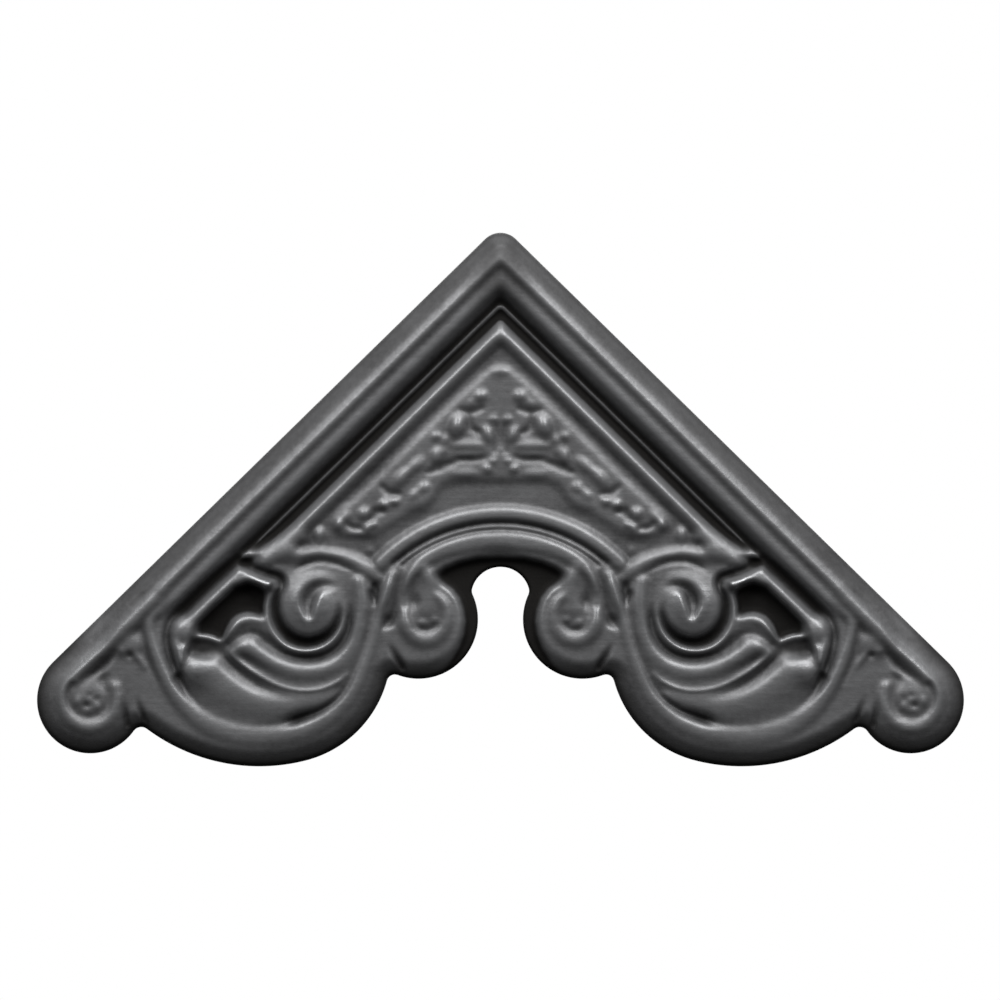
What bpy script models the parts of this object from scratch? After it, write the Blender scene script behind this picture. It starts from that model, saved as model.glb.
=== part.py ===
"""Pressed sheet-metal corner ornament, as one hollow-backed shell.

The ornament is an upright right-angled corner, apex up. +X is to the right, +Z is up, and the
embossed front faces -Y. The cut edge of the sheet, its back rim, lies in the plane y = 0, and the
origin is on that rim under the apex, where the ornament is fixed to a wall, door or gate.

The relief is worked out as a height above the back plane for every spot of the right half, from
the rails, bands, scrolls and leaves that the press tool has. A second surface, one sheet thickness
behind the first, makes the hollow back, and a Mirror modifier makes the left half.

All sizes below are in millimetres; only the finished mesh is in metres.
"""

import bmesh
import bpy
import numpy as np
from mathutils import Vector
from mathutils.geometry import delaunay_2d_cdt

MILLIMETRE = 0.001

# The sheet and the two legs
SHEET = 1.2
LEG_SLOPE = np.radians(44.4)
CORNER_TOP = 3.8
APEX_RADIUS = 9.5

# The outline of the right half: foot, lower scroll, small volute and notch
FOOT_CENTRE = (177.1, -201.8)
FOOT_RADIUS = 23.0
SCROLL_CENTRE = (96.1, -180.6)
SCROLL_RADIUS = 48.8
SCROLL_FLAT_RADIUS = 81.0
SCROLL_TURN = np.radians(75.6)
VOLUTE_CENTRE = (35.4, -166.9)
VOLUTE_RADIUS = 25.7
NOTCH_CENTRE = (0.0, -157.0)
NOTCH_RADIUS = 12.7
FOOT_FILLET = 4.0
SCROLL_FILLET = 3.5
NOTCH_FILLET = 4.0

# Heights above the back plane
GROUND = 7.6
PANEL_GROUND = 6.2
PLATE_RISE = 1.3
BORDER_CREST = 9.2
BLOCK_HEIGHT = 8.9
POCKET_FLOOR = 2.3
NOTCH_WEB = 2.8
FRAME_HEIGHT = 9.0
GROOVE_FLOOR = 2.4
BEAD_CREST = 10.6
BAND_CREST = 9.5

# Distances in from the outer edge of a leg
BEAD_LINE = 11.3
BAND_LINE = 16.8
FRAME_LINE = 28.6
BORDER_LINE = 33.8
MITRE_ROUNDING = 1.0

# How much the corner block and the pocket's frame rise for each millimetre further in
BLOCK_LEAN = 0.28
FRAME_LEAN = 0.2

# The leg's cross-section as pairs of distance in and height: bead, step, band, ledge, groove, wall
SECTION = ((0, 8.5), (7.2, 8.9), (8.8, 9.6), (10.5, 10.6), (11.6, BEAD_CREST + 0.1), (12.6, 10.0),
           (13.6, 9.2), (14.4, 9.1), (BAND_LINE, BAND_CREST), (18.6, 9.4), (20.0, 8.4),
           (23.4, 3.6), (24.3, 3.2), (25.5, 3.9), (26.5, 2.4), (27.2, GROOVE_FLOOR - 0.4),
           (28.4, GROOVE_FLOOR - 0.4), (29.2, 3.0), (31.4, GROUND), (400.0, GROUND))
# The runs along the leg between which the section fades out
RAIL_END = (225.0, 213.0)

# The rolled rim: a quick rise, then a slope that is steeper on the legs
RIM_WIDTH = 2.0
RIM_RISE = 3.0
LEG_RIM_SLOPE = 0.95
SCROLL_RIM_SLOPE = 0.64
RIM_BLEND = 1.0

# The bands over the notch are arcs about one centre
ARCH_CENTRE = (0.0, -194.2)
ARCH_UPPER_RADIUS = 72.8
ARCH_LINE_RADIUS = 69.0

# The large volute and the eye of the foot
BALL_CENTRE = (82.0, -160.6)
RING_CENTRE = (84.0, -163.8)
RING_RADIUS = 16.7
EYE_CENTRE = (177.6, -200.2)

# Small pits and grains in the eye: rows of x, z, half width, half height and rise
EYE_BEADS = (
    (173.6, -201, 1.6, 1.5, -1.1), (176.5, -199.4, 1.7, 1.2, -1.0), (178.2, -203.7, 1.9, 1.5, -1.9),
    (181.9, -202, 1.6, 2.5, 0.8), (173.4, -204.5, 1.7, 1.4, 0.8), (176.2, -205.6, 1.7, 1.2, 0.6),
)

# The flower spray: hollows between its leaves as rows of x, z and half width
LEAF_HOLLOWS = (
    ((20, -99, 1.8), (26, -101.4, 2.6), (31, -103.6, 1.6)),
    ((43.4, -112.8, 1.4), (47.6, -112.4, 2.2), (51, -109.6, 1.4)),
    ((50.6, -120.2, 1.6), (53.8, -120.8, 2.4), (56, -124, 1.4)),
    ((60, -127.6, 1.0), (63.6, -127.4, 1.6), (66, -125.6, 1.0)),
    ((8, -76, 1.4), (13, -77.6, 1.8), (17, -76.6, 1.2)),
    ((9.5, -86.5, 1.6), (12.6, -84, 2.0), (13.2, -79.6, 1.4)),
    ((1.6, -83, 1.0), (1.4, -90, 1.6), (2.2, -94.6, 1.4)),
    ((18.5, -98, 1.4), (10, -98, 1.4), (6.5, -96.8, 1.0)),
)
# Its ovals and beads as rows of x, z, half width, half height, rise and turn in degrees
FLOWER_BEADS = (
    (0, -60, 6, 2.2, 0.7, 0), (8.4, -70.6, 3.7, 3.2, 1.5, -20), (12.6, -73.6, 2.8, 2.0, 0.7, -30),
    (18.6, -83.4, 4.2, 6.4, 2.5, 12), (5.6, -87, 2.7, 4.8, 1.5, -20),
    (3.2, -80.6, 2.5, 2.2, 1.0, 0), (13.6, -92, 9.0, 3.2, 1.3, 0), (14, -95.7, 7.4, 1.3, 1.0, -2),
    (24, -89.6, 2.1, 3.2, 1.2, 10), (27.6, -88, 2.7, 2.2, 1.2, -30),
    (27.4, -96.2, 2.9, 4.6, 1.5, 10), (24.4, -94, 2.0, 3.4, 0.9, 0),
    (3.4, -98.8, 1.9, 1.9, 1.2, 0), (5.6, -102, 2.6, 2.5, 1.5, 20),
    (15.5, -104, 7.8, 2.7, 0.8, 0), (36.4, -100.6, 6.6, 3.2, 1.3, -44),
    (42.6, -105.8, 6.0, 3.4, 1.6, -52), (32.8, -109.8, 3.2, 3.2, 1.3, 0),
    (36.8, -112.6, 4.4, 2.3, 1.1, -36), (35, -115.6, 8.0, 4.2, 0.9, -24),
    (45.6, -116, 2.5, 2.4, 1.7, 0), (50, -117.4, 2.6, 2.9, 1.8, 10),
    (58.6, -121.2, 3.6, 3.4, 1.6, -20), (55, -126, 2.4, 2.0, 1.4, 0),
    (57.2, -127.6, 2.5, 2.3, 1.5, 0), (66.6, -122.8, 4.5, 2.0, 0.9, -44),
    (69.8, -126, 2.6, 3.1, 1.6, 0), (60, -130, 7.2, 1.8, 0.6, 6), (56, -137, 1.8, 1.8, 0.6, 0),
    (78, -130.2, 3.0, 4.4, 1.9, 0), (78, -135, 2.0, 3.2, 0.9, 0), (84.8, -131.4, 2.7, 3.6, 1.7, 30),
)

# A dome falls away with this power of the distance from its middle, and a bead with the other
DOME_POWER = 2.4
BEAD_POWER = 1.4

# Half the width of a thin line
LINE_WIDTH = 0.7

# How far to each side a ridge, a groove and the rim are looked for
RIDGE_REACH = 16.0
GROOVE_REACH = 9.0
EDGE_REACH = 20.0

# Height maps: their step, the steps beyond the outline, and the rounding of pressed edges
MAP_STEP = 0.5
MAP_MARGIN = 8
PRESSED_ROUNDING = 0.85

# Mesh fineness: spacing of the spots, and the triangles kept of one half
OUTLINE_SPACING = 1.8
STRAIGHT_SPACING = 5.0
FRONT_SPACING = 1.15
BACK_SPACING = 2.0
FRONT_ROWS = (0.35, 1.0, 2.0, 3.1)
BACK_ROWS = (0.5, 1.4)
TRIANGLES_OF_A_HALF = 4900
RIM_PROTECTION = 1000.0

LEG_ALONG = np.array([np.cos(LEG_SLOPE), -np.sin(LEG_SLOPE)])
LEG_INWARD = np.array([-np.sin(LEG_SLOPE), -np.cos(LEG_SLOPE)])
RIM_MIDDLE = SHEET / 2


# Small tools for outlines

def unit(vector):
    return vector / np.linalg.norm(vector)


def rounding_centre(first, first_distance, second, second_distance, hint):
    """The point at set distances from two centres that lies nearest to a hint."""
    first, second = np.array(first), np.array(second)
    span = np.linalg.norm(second - first)
    along = (span**2 + first_distance**2 - second_distance**2) / (2 * span)
    aside = np.sqrt(first_distance**2 - along**2)
    direction = (second - first) / span
    sideways = np.array([-direction[1], direction[0]])
    options = [first + along * direction + sign * aside * sideways for sign in (1, -1)]
    return min(options, key=lambda option: np.linalg.norm(option - np.array(hint)))


def arc(centre, start, end, turn):
    """Points about a centre from start towards end; turn is 1 anticlockwise and -1 clockwise."""
    centre = np.array(centre)
    radius = np.linalg.norm(start - centre)
    first = np.arctan2(*(start - centre)[::-1])
    sweep = (turn * (np.arctan2(*(end - centre)[::-1]) - first)) % (2 * np.pi)
    count = max(3, int(np.ceil(sweep * radius / OUTLINE_SPACING)))
    angles = first + turn * np.linspace(0, sweep, count + 1)
    return [centre + radius * np.array([np.cos(angle), np.sin(angle)]) for angle in angles[:-1]]


def straight(start, end):
    count = max(1, int(np.ceil(np.linalg.norm(end - start) / STRAIGHT_SPACING)))
    return [start + (end - start) * step / count for step in range(count)]


def half_outline():
    """The right half of the outline, clockwise from the apex to the top of the notch."""
    foot, scroll = np.array(FOOT_CENTRE), np.array(SCROLL_CENTRE)
    volute, notch = np.array(VOLUTE_CENTRE), np.array(NOTCH_CENTRE)
    lean = np.array([np.cos(SCROLL_TURN), np.sin(SCROLL_TURN)])
    flat = scroll + (SCROLL_FLAT_RADIUS - SCROLL_RADIUS) * lean
    apex = np.array([0.0, -APEX_RADIUS])
    foot_notch = rounding_centre(
        foot, FOOT_RADIUS + FOOT_FILLET, flat, SCROLL_FLAT_RADIUS + FOOT_FILLET, (155, -218))
    scroll_notch = rounding_centre(
        scroll, SCROLL_RADIUS + SCROLL_FILLET, volute, VOLUTE_RADIUS + SCROLL_FILLET, (45, -195))
    notch_corner = rounding_centre(
        volute, VOLUTE_RADIUS + NOTCH_FILLET, notch, NOTCH_RADIUS - NOTCH_FILLET, (9, -155))

    leg_start = apex - APEX_RADIUS * LEG_INWARD
    leg_end = foot - FOOT_RADIUS * LEG_INWARD
    foot_end = foot + FOOT_RADIUS * unit(foot_notch - foot)
    flat_start = flat + SCROLL_FLAT_RADIUS * unit(foot_notch - flat)
    flat_end = scroll - SCROLL_RADIUS * lean
    scroll_end = scroll + SCROLL_RADIUS * unit(scroll_notch - scroll)
    volute_start = volute + VOLUTE_RADIUS * unit(scroll_notch - volute)
    volute_end = volute + VOLUTE_RADIUS * unit(notch_corner - volute)
    notch_start = notch + NOTCH_RADIUS * unit(notch_corner - notch)
    notch_top = notch + np.array([0.0, NOTCH_RADIUS])

    path = arc(apex, np.array([0.0, 0.0]), leg_start, -1)
    path += straight(leg_start, leg_end)
    path += arc(foot, leg_end, foot_end, -1)
    path += arc(foot_notch, foot_end, flat_start, 1)
    path += arc(flat, flat_start, flat_end, -1)
    path += arc(scroll, flat_end, scroll_end, -1)
    path += arc(scroll_notch, scroll_end, volute_start, 1)
    path += arc(volute, volute_start, volute_end, -1)
    path += arc(notch_corner, volute_end, notch_start, 1)
    path += arc(notch, notch_start, notch_top, 1)
    return np.array(path + [notch_top])


def inward_normals(path):
    """The inward normal at each point of the half outline, level at the two ends."""
    ahead = np.vstack([path[1:], path[-1] + [-1.0, 0.0]])
    behind = np.vstack([path[0] - [1.0, 0.0], path[:-1]])
    way = ahead - behind
    normals = np.column_stack([way[:, 1], -way[:, 0]])
    return normals / np.linalg.norm(normals, axis=1)[:, None]


def inset(path, distance):
    """The half outline moved inward; its ends stay on the axis of symmetry."""
    moved = path + inward_normals(path) * distance
    moved[0, 0] = moved[-1, 0] = 0.0
    return moved


# Small tools for reliefs

def smooth_step(start, end, value):
    part = np.clip((value - start) / (end - start), 0, 1)
    return part * part * (3 - 2 * part)


def smooth_max(first, second, blend):
    share = np.clip(0.5 + 0.5 * (first - second) / blend, 0, 1)
    return second + (first - second) * share + blend * share * (1 - share)


def smooth_min(first, second, blend):
    return -smooth_max(-first, -second, blend)


def smooth_route(stops, steps=8):
    """A Catmull-Rom curve through rows of x, z and any further values."""
    stops = np.array(stops, dtype=float)
    padded = np.vstack([2 * stops[0] - stops[1], stops, 2 * stops[-1] - stops[-2]])
    rows = []
    for before, start, end, after in zip(padded, padded[1:], padded[2:], padded[3:]):
        for t in np.arange(steps) / steps:
            rows.append(0.5 * (2 * start + (end - before) * t
                               + (2 * before - 5 * start + 4 * end - after) * t**2
                               + (3 * start - before - 3 * end + after) * t**3))
    return np.vstack(rows + [stops[-1]])


def follow(route, spots, reach):
    """For each spot near a route: its distance from it, and the route's values beside it.

    The spots are put in the order of their x, so that each stretch of the route looks only at
    the ones that it can reach.
    """
    route = np.asarray(route, dtype=float)
    order = np.argsort(spots[:, 0], kind="stable")
    spots = spots[order]
    distance = np.full(len(spots), np.inf)
    values = np.zeros((len(spots), route.shape[1] - 2))
    for start, end in zip(route[:-1], route[1:]):
        low, high = min(start[0], end[0]) - reach, max(start[0], end[0]) + reach
        first, last = np.searchsorted(spots[:, 0], (low, high))
        way = end - start
        gap = spots[first:last] - start[:2]
        part = np.clip(gap @ way[:2] / max(way[:2] @ way[:2], 1e-12), 0, 1)
        away = np.hypot(*(gap - part[:, None] * way[:2]).T)
        closer = away < np.minimum(distance[first:last], reach)
        distance[first:last][closer] = away[closer]
        values[first:last][closer] = start[2:] + part[closer, None] * way[2:]
    near = np.flatnonzero(distance < reach)
    return order[near], distance[near], values[near].T


def inside(spots, corners):
    """Which spots lie in a polygon."""
    found = np.zeros(len(spots), dtype=bool)
    corners = np.asarray(corners)
    for (x1, z1), (x2, z2) in zip(corners, np.roll(corners, -1, axis=0)):
        crosses = (z1 > spots[:, 1]) != (z2 > spots[:, 1])
        if z1 != z2:
            found ^= crosses & (spots[:, 0] < x1 + (spots[:, 1] - z1) * (x2 - x1) / (z2 - z1))
    return found


def area_share(spots, corners, soft):
    """1 well inside a polygon, 0 well outside it, and a soft step at its edge."""
    corners = np.asarray(corners, dtype=float)
    near, distance, _ = follow(np.vstack([corners, corners[:1]]), spots, 3 * soft)
    signed = np.full(len(spots), 3 * soft)
    signed[near] = distance
    signed[~inside(spots, corners)] *= -1
    return smooth_step(-soft, soft, signed)


def round_route(centre, radius, first, last, half_width, level, count=12):
    """Stops along an arc, between two angles in degrees."""
    angles = np.radians(np.linspace(first, last, count))
    return [(centre[0] + radius * np.cos(angle), centre[1] + radius * np.sin(angle),
             half_width, level) for angle in angles]


def leg_distance(spots):
    """Distance in from the straight outer edge of the leg, with the mitre slightly rounded."""
    across = np.sqrt(spots[:, 0]**2 + MITRE_ROUNDING**2) - 0.5 * MITRE_ROUNDING
    return across * LEG_INWARD[0] + (spots[:, 1] - CORNER_TOP) * LEG_INWARD[1]


def leg_run(spots):
    """Distance along the leg from its sharp corner."""
    return (spots - np.array([0.0, CORNER_TOP])) @ LEG_ALONG


def leg_spot(along, inward):
    """The spot at a distance along the leg from its sharp corner, and a distance in."""
    return tuple(LEG_ALONG * along + LEG_INWARD * inward + np.array([0.0, CORNER_TOP]))


class Die:
    """The relief as it is cut in the press tool: a height for every spot of the right half."""

    def __init__(self, spots):
        self.spots = spots
        self.height = np.full(len(spots), GROUND)
        self.leg_distance = leg_distance(spots)
        self.leg_run = leg_run(spots)

    def ridge(self, stops, blend=1.2, drop=4.0, power=2.2):
        """Raise a rounded ridge. Each stop is x, z, half width and crest height."""
        near, distance, (width, crest) = follow(smooth_route(stops), self.spots, RIDGE_REACH)
        raised = crest - drop * (distance / width) ** power
        self.height[near] = smooth_max(self.height[near], raised, blend)

    def groove(self, stops, blend=0.8, rise=4.0, power=2.0):
        """Sink a rounded groove. Each stop is x, z, half width and floor height."""
        near, distance, (width, floor) = follow(smooth_route(stops), self.spots, GROOVE_REACH)
        sunk = floor + rise * (distance / width) ** power
        self.height[near] = smooth_min(self.height[near], sunk, blend)

    def line(self, stops):
        """Add a thin line. Each stop is x, z and how much the line stands up."""
        near, distance, (lift,) = follow(smooth_route(stops), self.spots, 4 * LINE_WIDTH)
        self.height[near] += lift * np.exp(-(distance / LINE_WIDTH) ** 2)

    def oval(self, centre, radii, turn):
        """How far each spot lies from the middle of a turned oval; 1 is on its edge."""
        cosine, sine = np.cos(np.radians(turn)), np.sin(np.radians(turn))
        gap = self.spots - np.array(centre)
        return np.hypot((gap[:, 0] * cosine + gap[:, 1] * sine) / radii[0],
                        (-gap[:, 0] * sine + gap[:, 1] * cosine) / radii[1])

    def dome(self, centre, radii, crest, rise, turn=0.0, blend=1.0):
        """Raise an oval dome that has fallen by its rise at its radii, and falls on from there."""
        raised = crest - rise * self.oval(centre, radii, turn) ** DOME_POWER
        self.height = smooth_max(self.height, raised, blend)

    def bead(self, centre, radii, rise, turn=0.0):
        """Add a small oval bead on whatever lies under it, or a pit if its rise is negative."""
        self.height += rise * np.clip(1 - self.oval(centre, radii, turn) ** 2, 0, 1) ** BEAD_POWER

    def field(self, corners, level, soft):
        """Bring a polygon to a level, which is a number or a height for every spot."""
        self.height += (level - self.height) * area_share(self.spots, corners, soft)


# The relief, one function for each part of the design

def press_rails(die):
    """The bead, the band and the deep groove that run along the leg."""
    section = np.interp(die.leg_distance, *zip(*SECTION))
    share = smooth_step(*RAIL_END, die.leg_run) * smooth_step(33, 29, die.leg_distance)
    die.height += (section - die.height) * share
    die.groove([(112, -139.6, 2.6, 3.2), (120, -146.4, 2.8, 3.0), (128, -153.4, 2.8, 3.2),
                (135.6, -160.8, 2.9, 3.3), (141, -166.6, 2.8, 3.8), (143.6, -173.4, 2.3, 4.8),
                (143, -180, 2.0, 5.0), (141, -186.4, 2.0, 4.6), (138.4, -191.4, 1.8, 4.0)], rise=4.2)


def press_panel(die):
    """The sunk ground of the panel, with border, ledge and corner block round it."""
    arch_edge = [(x, z) for x, z, _, _ in round_route(ARCH_CENTRE, ARCH_UPPER_RADIUS, 46, 90, 0, 0)]
    panel_top = leg_spot(0, BORDER_LINE)[1] - 8
    panel_edge = [(-9.0, panel_top), (0.0, panel_top), leg_spot(186, BORDER_LINE), (96.0, -136.4),
                  (88.0, -138.0), (78.0, -138.0), (68.0, -139.6), (60.0, -142.2), (55.0, -145.0)]
    panel_edge += arch_edge + [(-9.0, -121.0)]
    panel = area_share(die.spots, panel_edge, 1.6) * smooth_step(31.5, 34.5, die.leg_distance)
    die.height += (PANEL_GROUND - die.height) * panel
    border = BORDER_CREST - 4.0 * np.abs((die.leg_distance - BORDER_LINE) / 3.4) ** 2.4
    die.height = smooth_max(die.height, border - 8 * smooth_step(182, 194, die.leg_run), 1.0)
    die.ridge([(100, -139, 3.4, 8.8), (90, -139.4, 3.4, 8.8), (80, -139, 3.4, 8.8),
               (70, -140, 3.4, 8.8), (62, -142.4, 3.6, 8.8), (56, -146, 4.0, 8.8),
               (52.5, -149, 3.0, 8.4)], blend=1.8, power=3.0)
    die.field([(83.5, -123.6), (92, -128.4), (98, -132.4), (104.5, -136.2), (112.4, -139.4),
               (112, -140.4), (104, -140.4), (96, -139.6), (89, -138), (86.5, -132)],
              BLOCK_HEIGHT + BLOCK_LEAN * (die.leg_distance - BORDER_LINE), 2.2)


def press_flowers(die):
    """The flower spray: a low plate, hollows between its leaves, and beads on it."""
    plate_edge = [(-9, -57.5), (0, -57.5), (6, -60.5), (16, -69.5), (28, -81), (40, -93), (52, -105),
                  (62, -114.5), (69, -120), (71.8, -125.5), (69.5, -129.6), (62, -131.2), (54, -130.4),
                  (47, -126), (39, -121.6), (32, -119), (28.5, -114), (24, -108.5), (14, -107),
                  (-9, -107)]
    die.height += PLATE_RISE * area_share(die.spots, smooth_route(plate_edge)[:, :2], 2.2)
    for stops in LEAF_HOLLOWS:
        die.groove([(x, z, width, PANEL_GROUND + 0.1) for x, z, width in stops], rise=1.8)
    for x, z, across, up, rise, turn in FLOWER_BEADS:
        die.bead((x, z), (across, up), rise, turn)


def press_arch(die):
    """The two bands over the notch, with two thin lines between them, and the low web below."""
    die.ridge(round_route(ARCH_CENTRE, ARCH_UPPER_RADIUS, 45, 90, 4.3, 8.8), power=4.0)
    die.ridge([(0, -133.0, 5.6, 8.9), (10, -133.5, 5.6, 8.9), (20, -135.3, 5.4, 8.9),
               (28, -138.4, 4.8, 8.9), (34, -142.2, 4.0, 9.1), (38, -146.6, 3.0, 9.4),
               (40.2, -150.8, 2.2, 9.2), (41.4, -155, 1.5, 8.2)], power=3.6)
    die.groove(round_route(ARCH_CENTRE, ARCH_LINE_RADIUS, 48, 90, 1.2, 5.8), rise=2.6)
    die.groove(round_route(ARCH_CENTRE, ARCH_LINE_RADIUS - 3.0, 50, 90, 1.0, 6.4), rise=2.6)
    die.field([(-9, -140.2), (0, -140.2), (10, -140.8), (18, -142.6), (24, -145.2), (27.6, -148),
               (25, -150.6), (20.4, -154), (17.4, -158), (15.8, -163), (15.2, -168), (16, -173.6),
               (18.2, -179.4), (21.8, -185.2), (26.6, -190.8), (18, -193), (4, -180), (4, -160),
               (-9, -146)], NOTCH_WEB, 1.6)


def press_leaves(die):
    """The leaf lobes that sweep round under the large volute, and their folds."""
    die.ridge([(73, -200.6, 4.4, 8.3), (83, -202.4, 5.4, 8.5), (95, -203.4, 7.0, 8.6),
               (107, -201.0, 8.2, 8.6), (117.5, -196.4, 8.2, 8.9), (125, -192, 7.0, 9.4),
               (131, -189.4, 4.8, 9.6)], blend=2.6, drop=1.8)
    die.dome((129.4, -188.4), (7.4, 5.8), 10.3, 2.2, turn=-10, blend=2.6)
    die.ridge([(60.6, -150.6, 3.2, 9.2), (59.8, -157, 3.5, 9.5), (59.8, -164.4, 3.8, 9.4),
               (61.4, -172.4, 4.4, 9.3), (65.0, -180.0, 5.0, 9.1), (70.8, -186.0, 5.6, 8.9),
               (79, -189, 6.0, 8.8), (88, -189, 6.2, 8.9), (96.5, -186, 6.2, 9.2),
               (104, -181.6, 6.2, 9.7), (109.8, -178.6, 4.8, 10.2), (115.4, -180.2, 2.4, 9.2)],
              blend=2.2, drop=2.0)
    die.groove([(66, -187.6, 1.4, 8.2), (71, -191.0, 2.0, 8.0), (79, -193.4, 2.4, 8.0),
                (88, -193.4, 2.4, 7.9), (97, -191.0, 2.2, 7.6), (105, -187.2, 1.9, 6.8),
                (111, -183.5, 1.5, 6.4), (114.6, -181.8, 1.0, 7.0)], rise=1.6)
    die.groove([(90, -200, 1.4, 8.0), (97, -198.4, 2.0, 7.0), (104, -195.2, 2.8, 5.8),
                (111.4, -190, 3.0, 5.2), (117, -184.8, 2.8, 4.8), (120, -181, 2.4, 4.6)], rise=2.6)
    die.ridge([(66, -190.2, 1.4, 8.6), (70.2, -193.8, 1.6, 9.0), (77.6, -196.8, 1.6, 8.9),
               (85.6, -197.4, 1.6, 8.8), (94.4, -195.7, 1.5, 8.8), (103, -191.6, 1.5, 8.9),
               (110.2, -186.8, 1.5, 9.0), (115.2, -182.4, 1.5, 9.4), (116.6, -180.4, 1.3, 9.2)],
              blend=0.8, drop=1.8)


def press_pocket(die):
    """The deep pocket beside the large volute, with its flat frame and a leaf tip."""
    die.field([(101.6, -154.4), (105.5, -152.4), (109.2, -151.2), (114.4, -153.0), (119, -157.4),
               (124, -162.0), (128.4, -166.0), (132, -170.6), (132.8, -173.6), (126, -174.2),
               (120.4, -176.0), (118.4, -173.4), (116.6, -169.6), (113.4, -165.6), (109.6, -163.8),
               (101.8, -165.4)], POCKET_FLOOR, 1.6)
    die.field([(119.4, -177.6), (126, -175.4), (132.6, -174.8), (134.6, -181), (130, -182.6),
               (124, -182.8), (120.4, -181)], 4.6, 1.6)
    die.ridge([(103, -167.6, 2.8, 8.0), (108, -166.9, 3.0, 8.6), (112.4, -168.2, 2.9, 9.5),
               (115.8, -172, 2.4, 9.7), (118.6, -176.4, 1.6, 8.8)], blend=1.4, drop=3.2)
    die.ridge([(119.4, -177, 1.3, 6.8), (125.6, -174.6, 1.4, 7.0), (132.4, -174, 1.5, 7.6)],
              blend=0.8, drop=2.4)
    die.field([(97.4, -150.2), (105, -147.4), (112.8, -143.6), (123, -153.2), (133, -162.8),
               (138.6, -167.6), (141.6, -171.8), (141.4, -178), (139.6, -184), (137.8, -188.4),
               (136, -185.4), (134.8, -180), (134, -176), (131.8, -171.6), (130.4, -168.6),
               (124, -161.8), (114.6, -152.8), (109, -150.8), (105, -151.8), (101.2, -154.2),
               (98.6, -153.4)],
              FRAME_HEIGHT + FRAME_LEAN * (die.leg_distance - FRAME_LINE), 1.3)
    die.dome((136.6, -171.4), (4.6, 4.2), 10.0, 1.8, turn=-40, blend=1.6)
    die.bead((136.6, -176.8), (1.6, 1.9), -1.4)


def press_ribbon(die):
    """The ribbon: down from the arch, under the leaves with a crease beside it, up to the leg."""
    die.ridge([(46.6, -147.4, 2.4, 9.0), (47.8, -151.4, 2.9, 9.9), (49.2, -156, 2.9, 10.0),
               (50.8, -160.6, 2.6, 9.7), (52.2, -165, 2.4, 8.9), (53.4, -170, 2.9, 8.7),
               (55.2, -177, 3.2, 8.7), (57.8, -185, 3.6, 8.8), (61, -193, 4.2, 8.8),
               (66, -201, 4.8, 8.8), (73.5, -208.6, 5.2, 8.8), (84, -214.2, 5.6, 8.7),
               (97, -217.0, 6.2, 8.6), (110, -216.8, 6.4, 8.5), (123, -213.4, 6.0, 8.6),
               (133, -207, 5.2, 8.7), (139.6, -199.4, 4.4, 9.0), (144.6, -191, 3.9, 9.3),
               (148.4, -181.6, 3.6, 9.5), (150.8, -172.8, 3.4, 9.5), (150.6, -166.6, 3.3, 9.5),
               leg_spot(221, 15.9) + (3.3, 9.3), leg_spot(213, 16.6) + (3.3, 8.4),
               leg_spot(206, BAND_LINE) + (3.3, 7.6)], blend=1.8, drop=3.4, power=2.6)
    die.groove([(56.6, -164, 1.0, 7.4), (57.4, -172, 1.1, 7.2), (59.6, -179.6, 1.2, 7.1),
                (62.8, -187.4, 1.2, 6.9), (65.6, -194.6, 1.3, 6.7), (70.4, -201, 1.4, 6.4),
                (77.6, -206, 1.6, 5.4), (84.4, -208.6, 1.8, 4.2), (88.6, -210, 1.8, 4.0),
                (94, -211.4, 2.4, 6.8), (104, -212, 3.2, 7.8), (116, -210, 3.2, 7.8),
                (127, -205, 2.8, 7.4), (134.4, -198.4, 2.2, 6.0), (138.6, -191.8, 2.0, 3.8)], rise=2.8)


def press_small_volute(die):
    """The small volute beside the notch: one turn, an eye and a hollow."""
    die.groove([(27, -154.2, 1.1, 7.8), (22.8, -157.6, 1.2, 7.5), (20.6, -162.4, 1.2, 7.4),
                (20, -168, 1.2, 7.6), (21, -173.6, 1.1, 8.0)], rise=1.8)
    die.ridge([(32.6, -144.4, 3.2, 8.8), (31.2, -148.2, 3.2, 9.3), (30.4, -152.8, 3.8, 8.8),
               (30.4, -157.6, 4.4, 8.6), (30.8, -162, 5.0, 8.5)], blend=2.0, drop=2.0)
    die.ridge([(27.6, -156.4, 2.0, 8.7), (24.4, -159.8, 2.6, 8.9), (23.0, -164.8, 3.0, 8.8),
               (24.0, -170.4, 3.4, 8.7), (28.4, -175.0, 3.6, 8.7), (34, -175.6, 3.8, 8.7),
               (39, -172.4, 3.6, 9.3), (41.0, -167.8, 3.2, 9.7), (41.4, -163.4, 2.2, 9.0)],
              blend=1.8, drop=2.2)
    die.groove([(36.2, -151.0, 2.0, 7.4), (37.4, -155.4, 3.2, 6.6), (37.2, -159.4, 3.2, 6.0),
                (37.4, -162.4, 2.0, 7.0)], rise=2.4)
    die.groove([(26.2, -165.0, 1.0, 7.9), (27.4, -168.8, 1.3, 7.0), (30.4, -171.0, 1.4, 6.5),
                (34, -171.2, 1.4, 6.6), (36.8, -169.0, 1.1, 7.4)], rise=2.4)
    die.bead((28.5, -167.0), (2.3, 1.8), 1.0)
    die.bead((33.4, -168.1), (2.8, 1.8), 0.9)
    die.groove([(42.6, -146.4, 1.2, 7.4), (43.8, -152, 1.6, 6.6), (44.6, -158, 1.9, 6.4),
                (46, -164, 2.4, 5.8), (48.2, -167.8, 2.8, 4.8), (50.2, -170.2, 1.8, 6.4)], rise=3.2)
    die.groove([(48, -177.4, 1.2, 7.2), (45.6, -182, 1.8, 5.4), (42.2, -188.4, 2.4, 3.4)])


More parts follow.
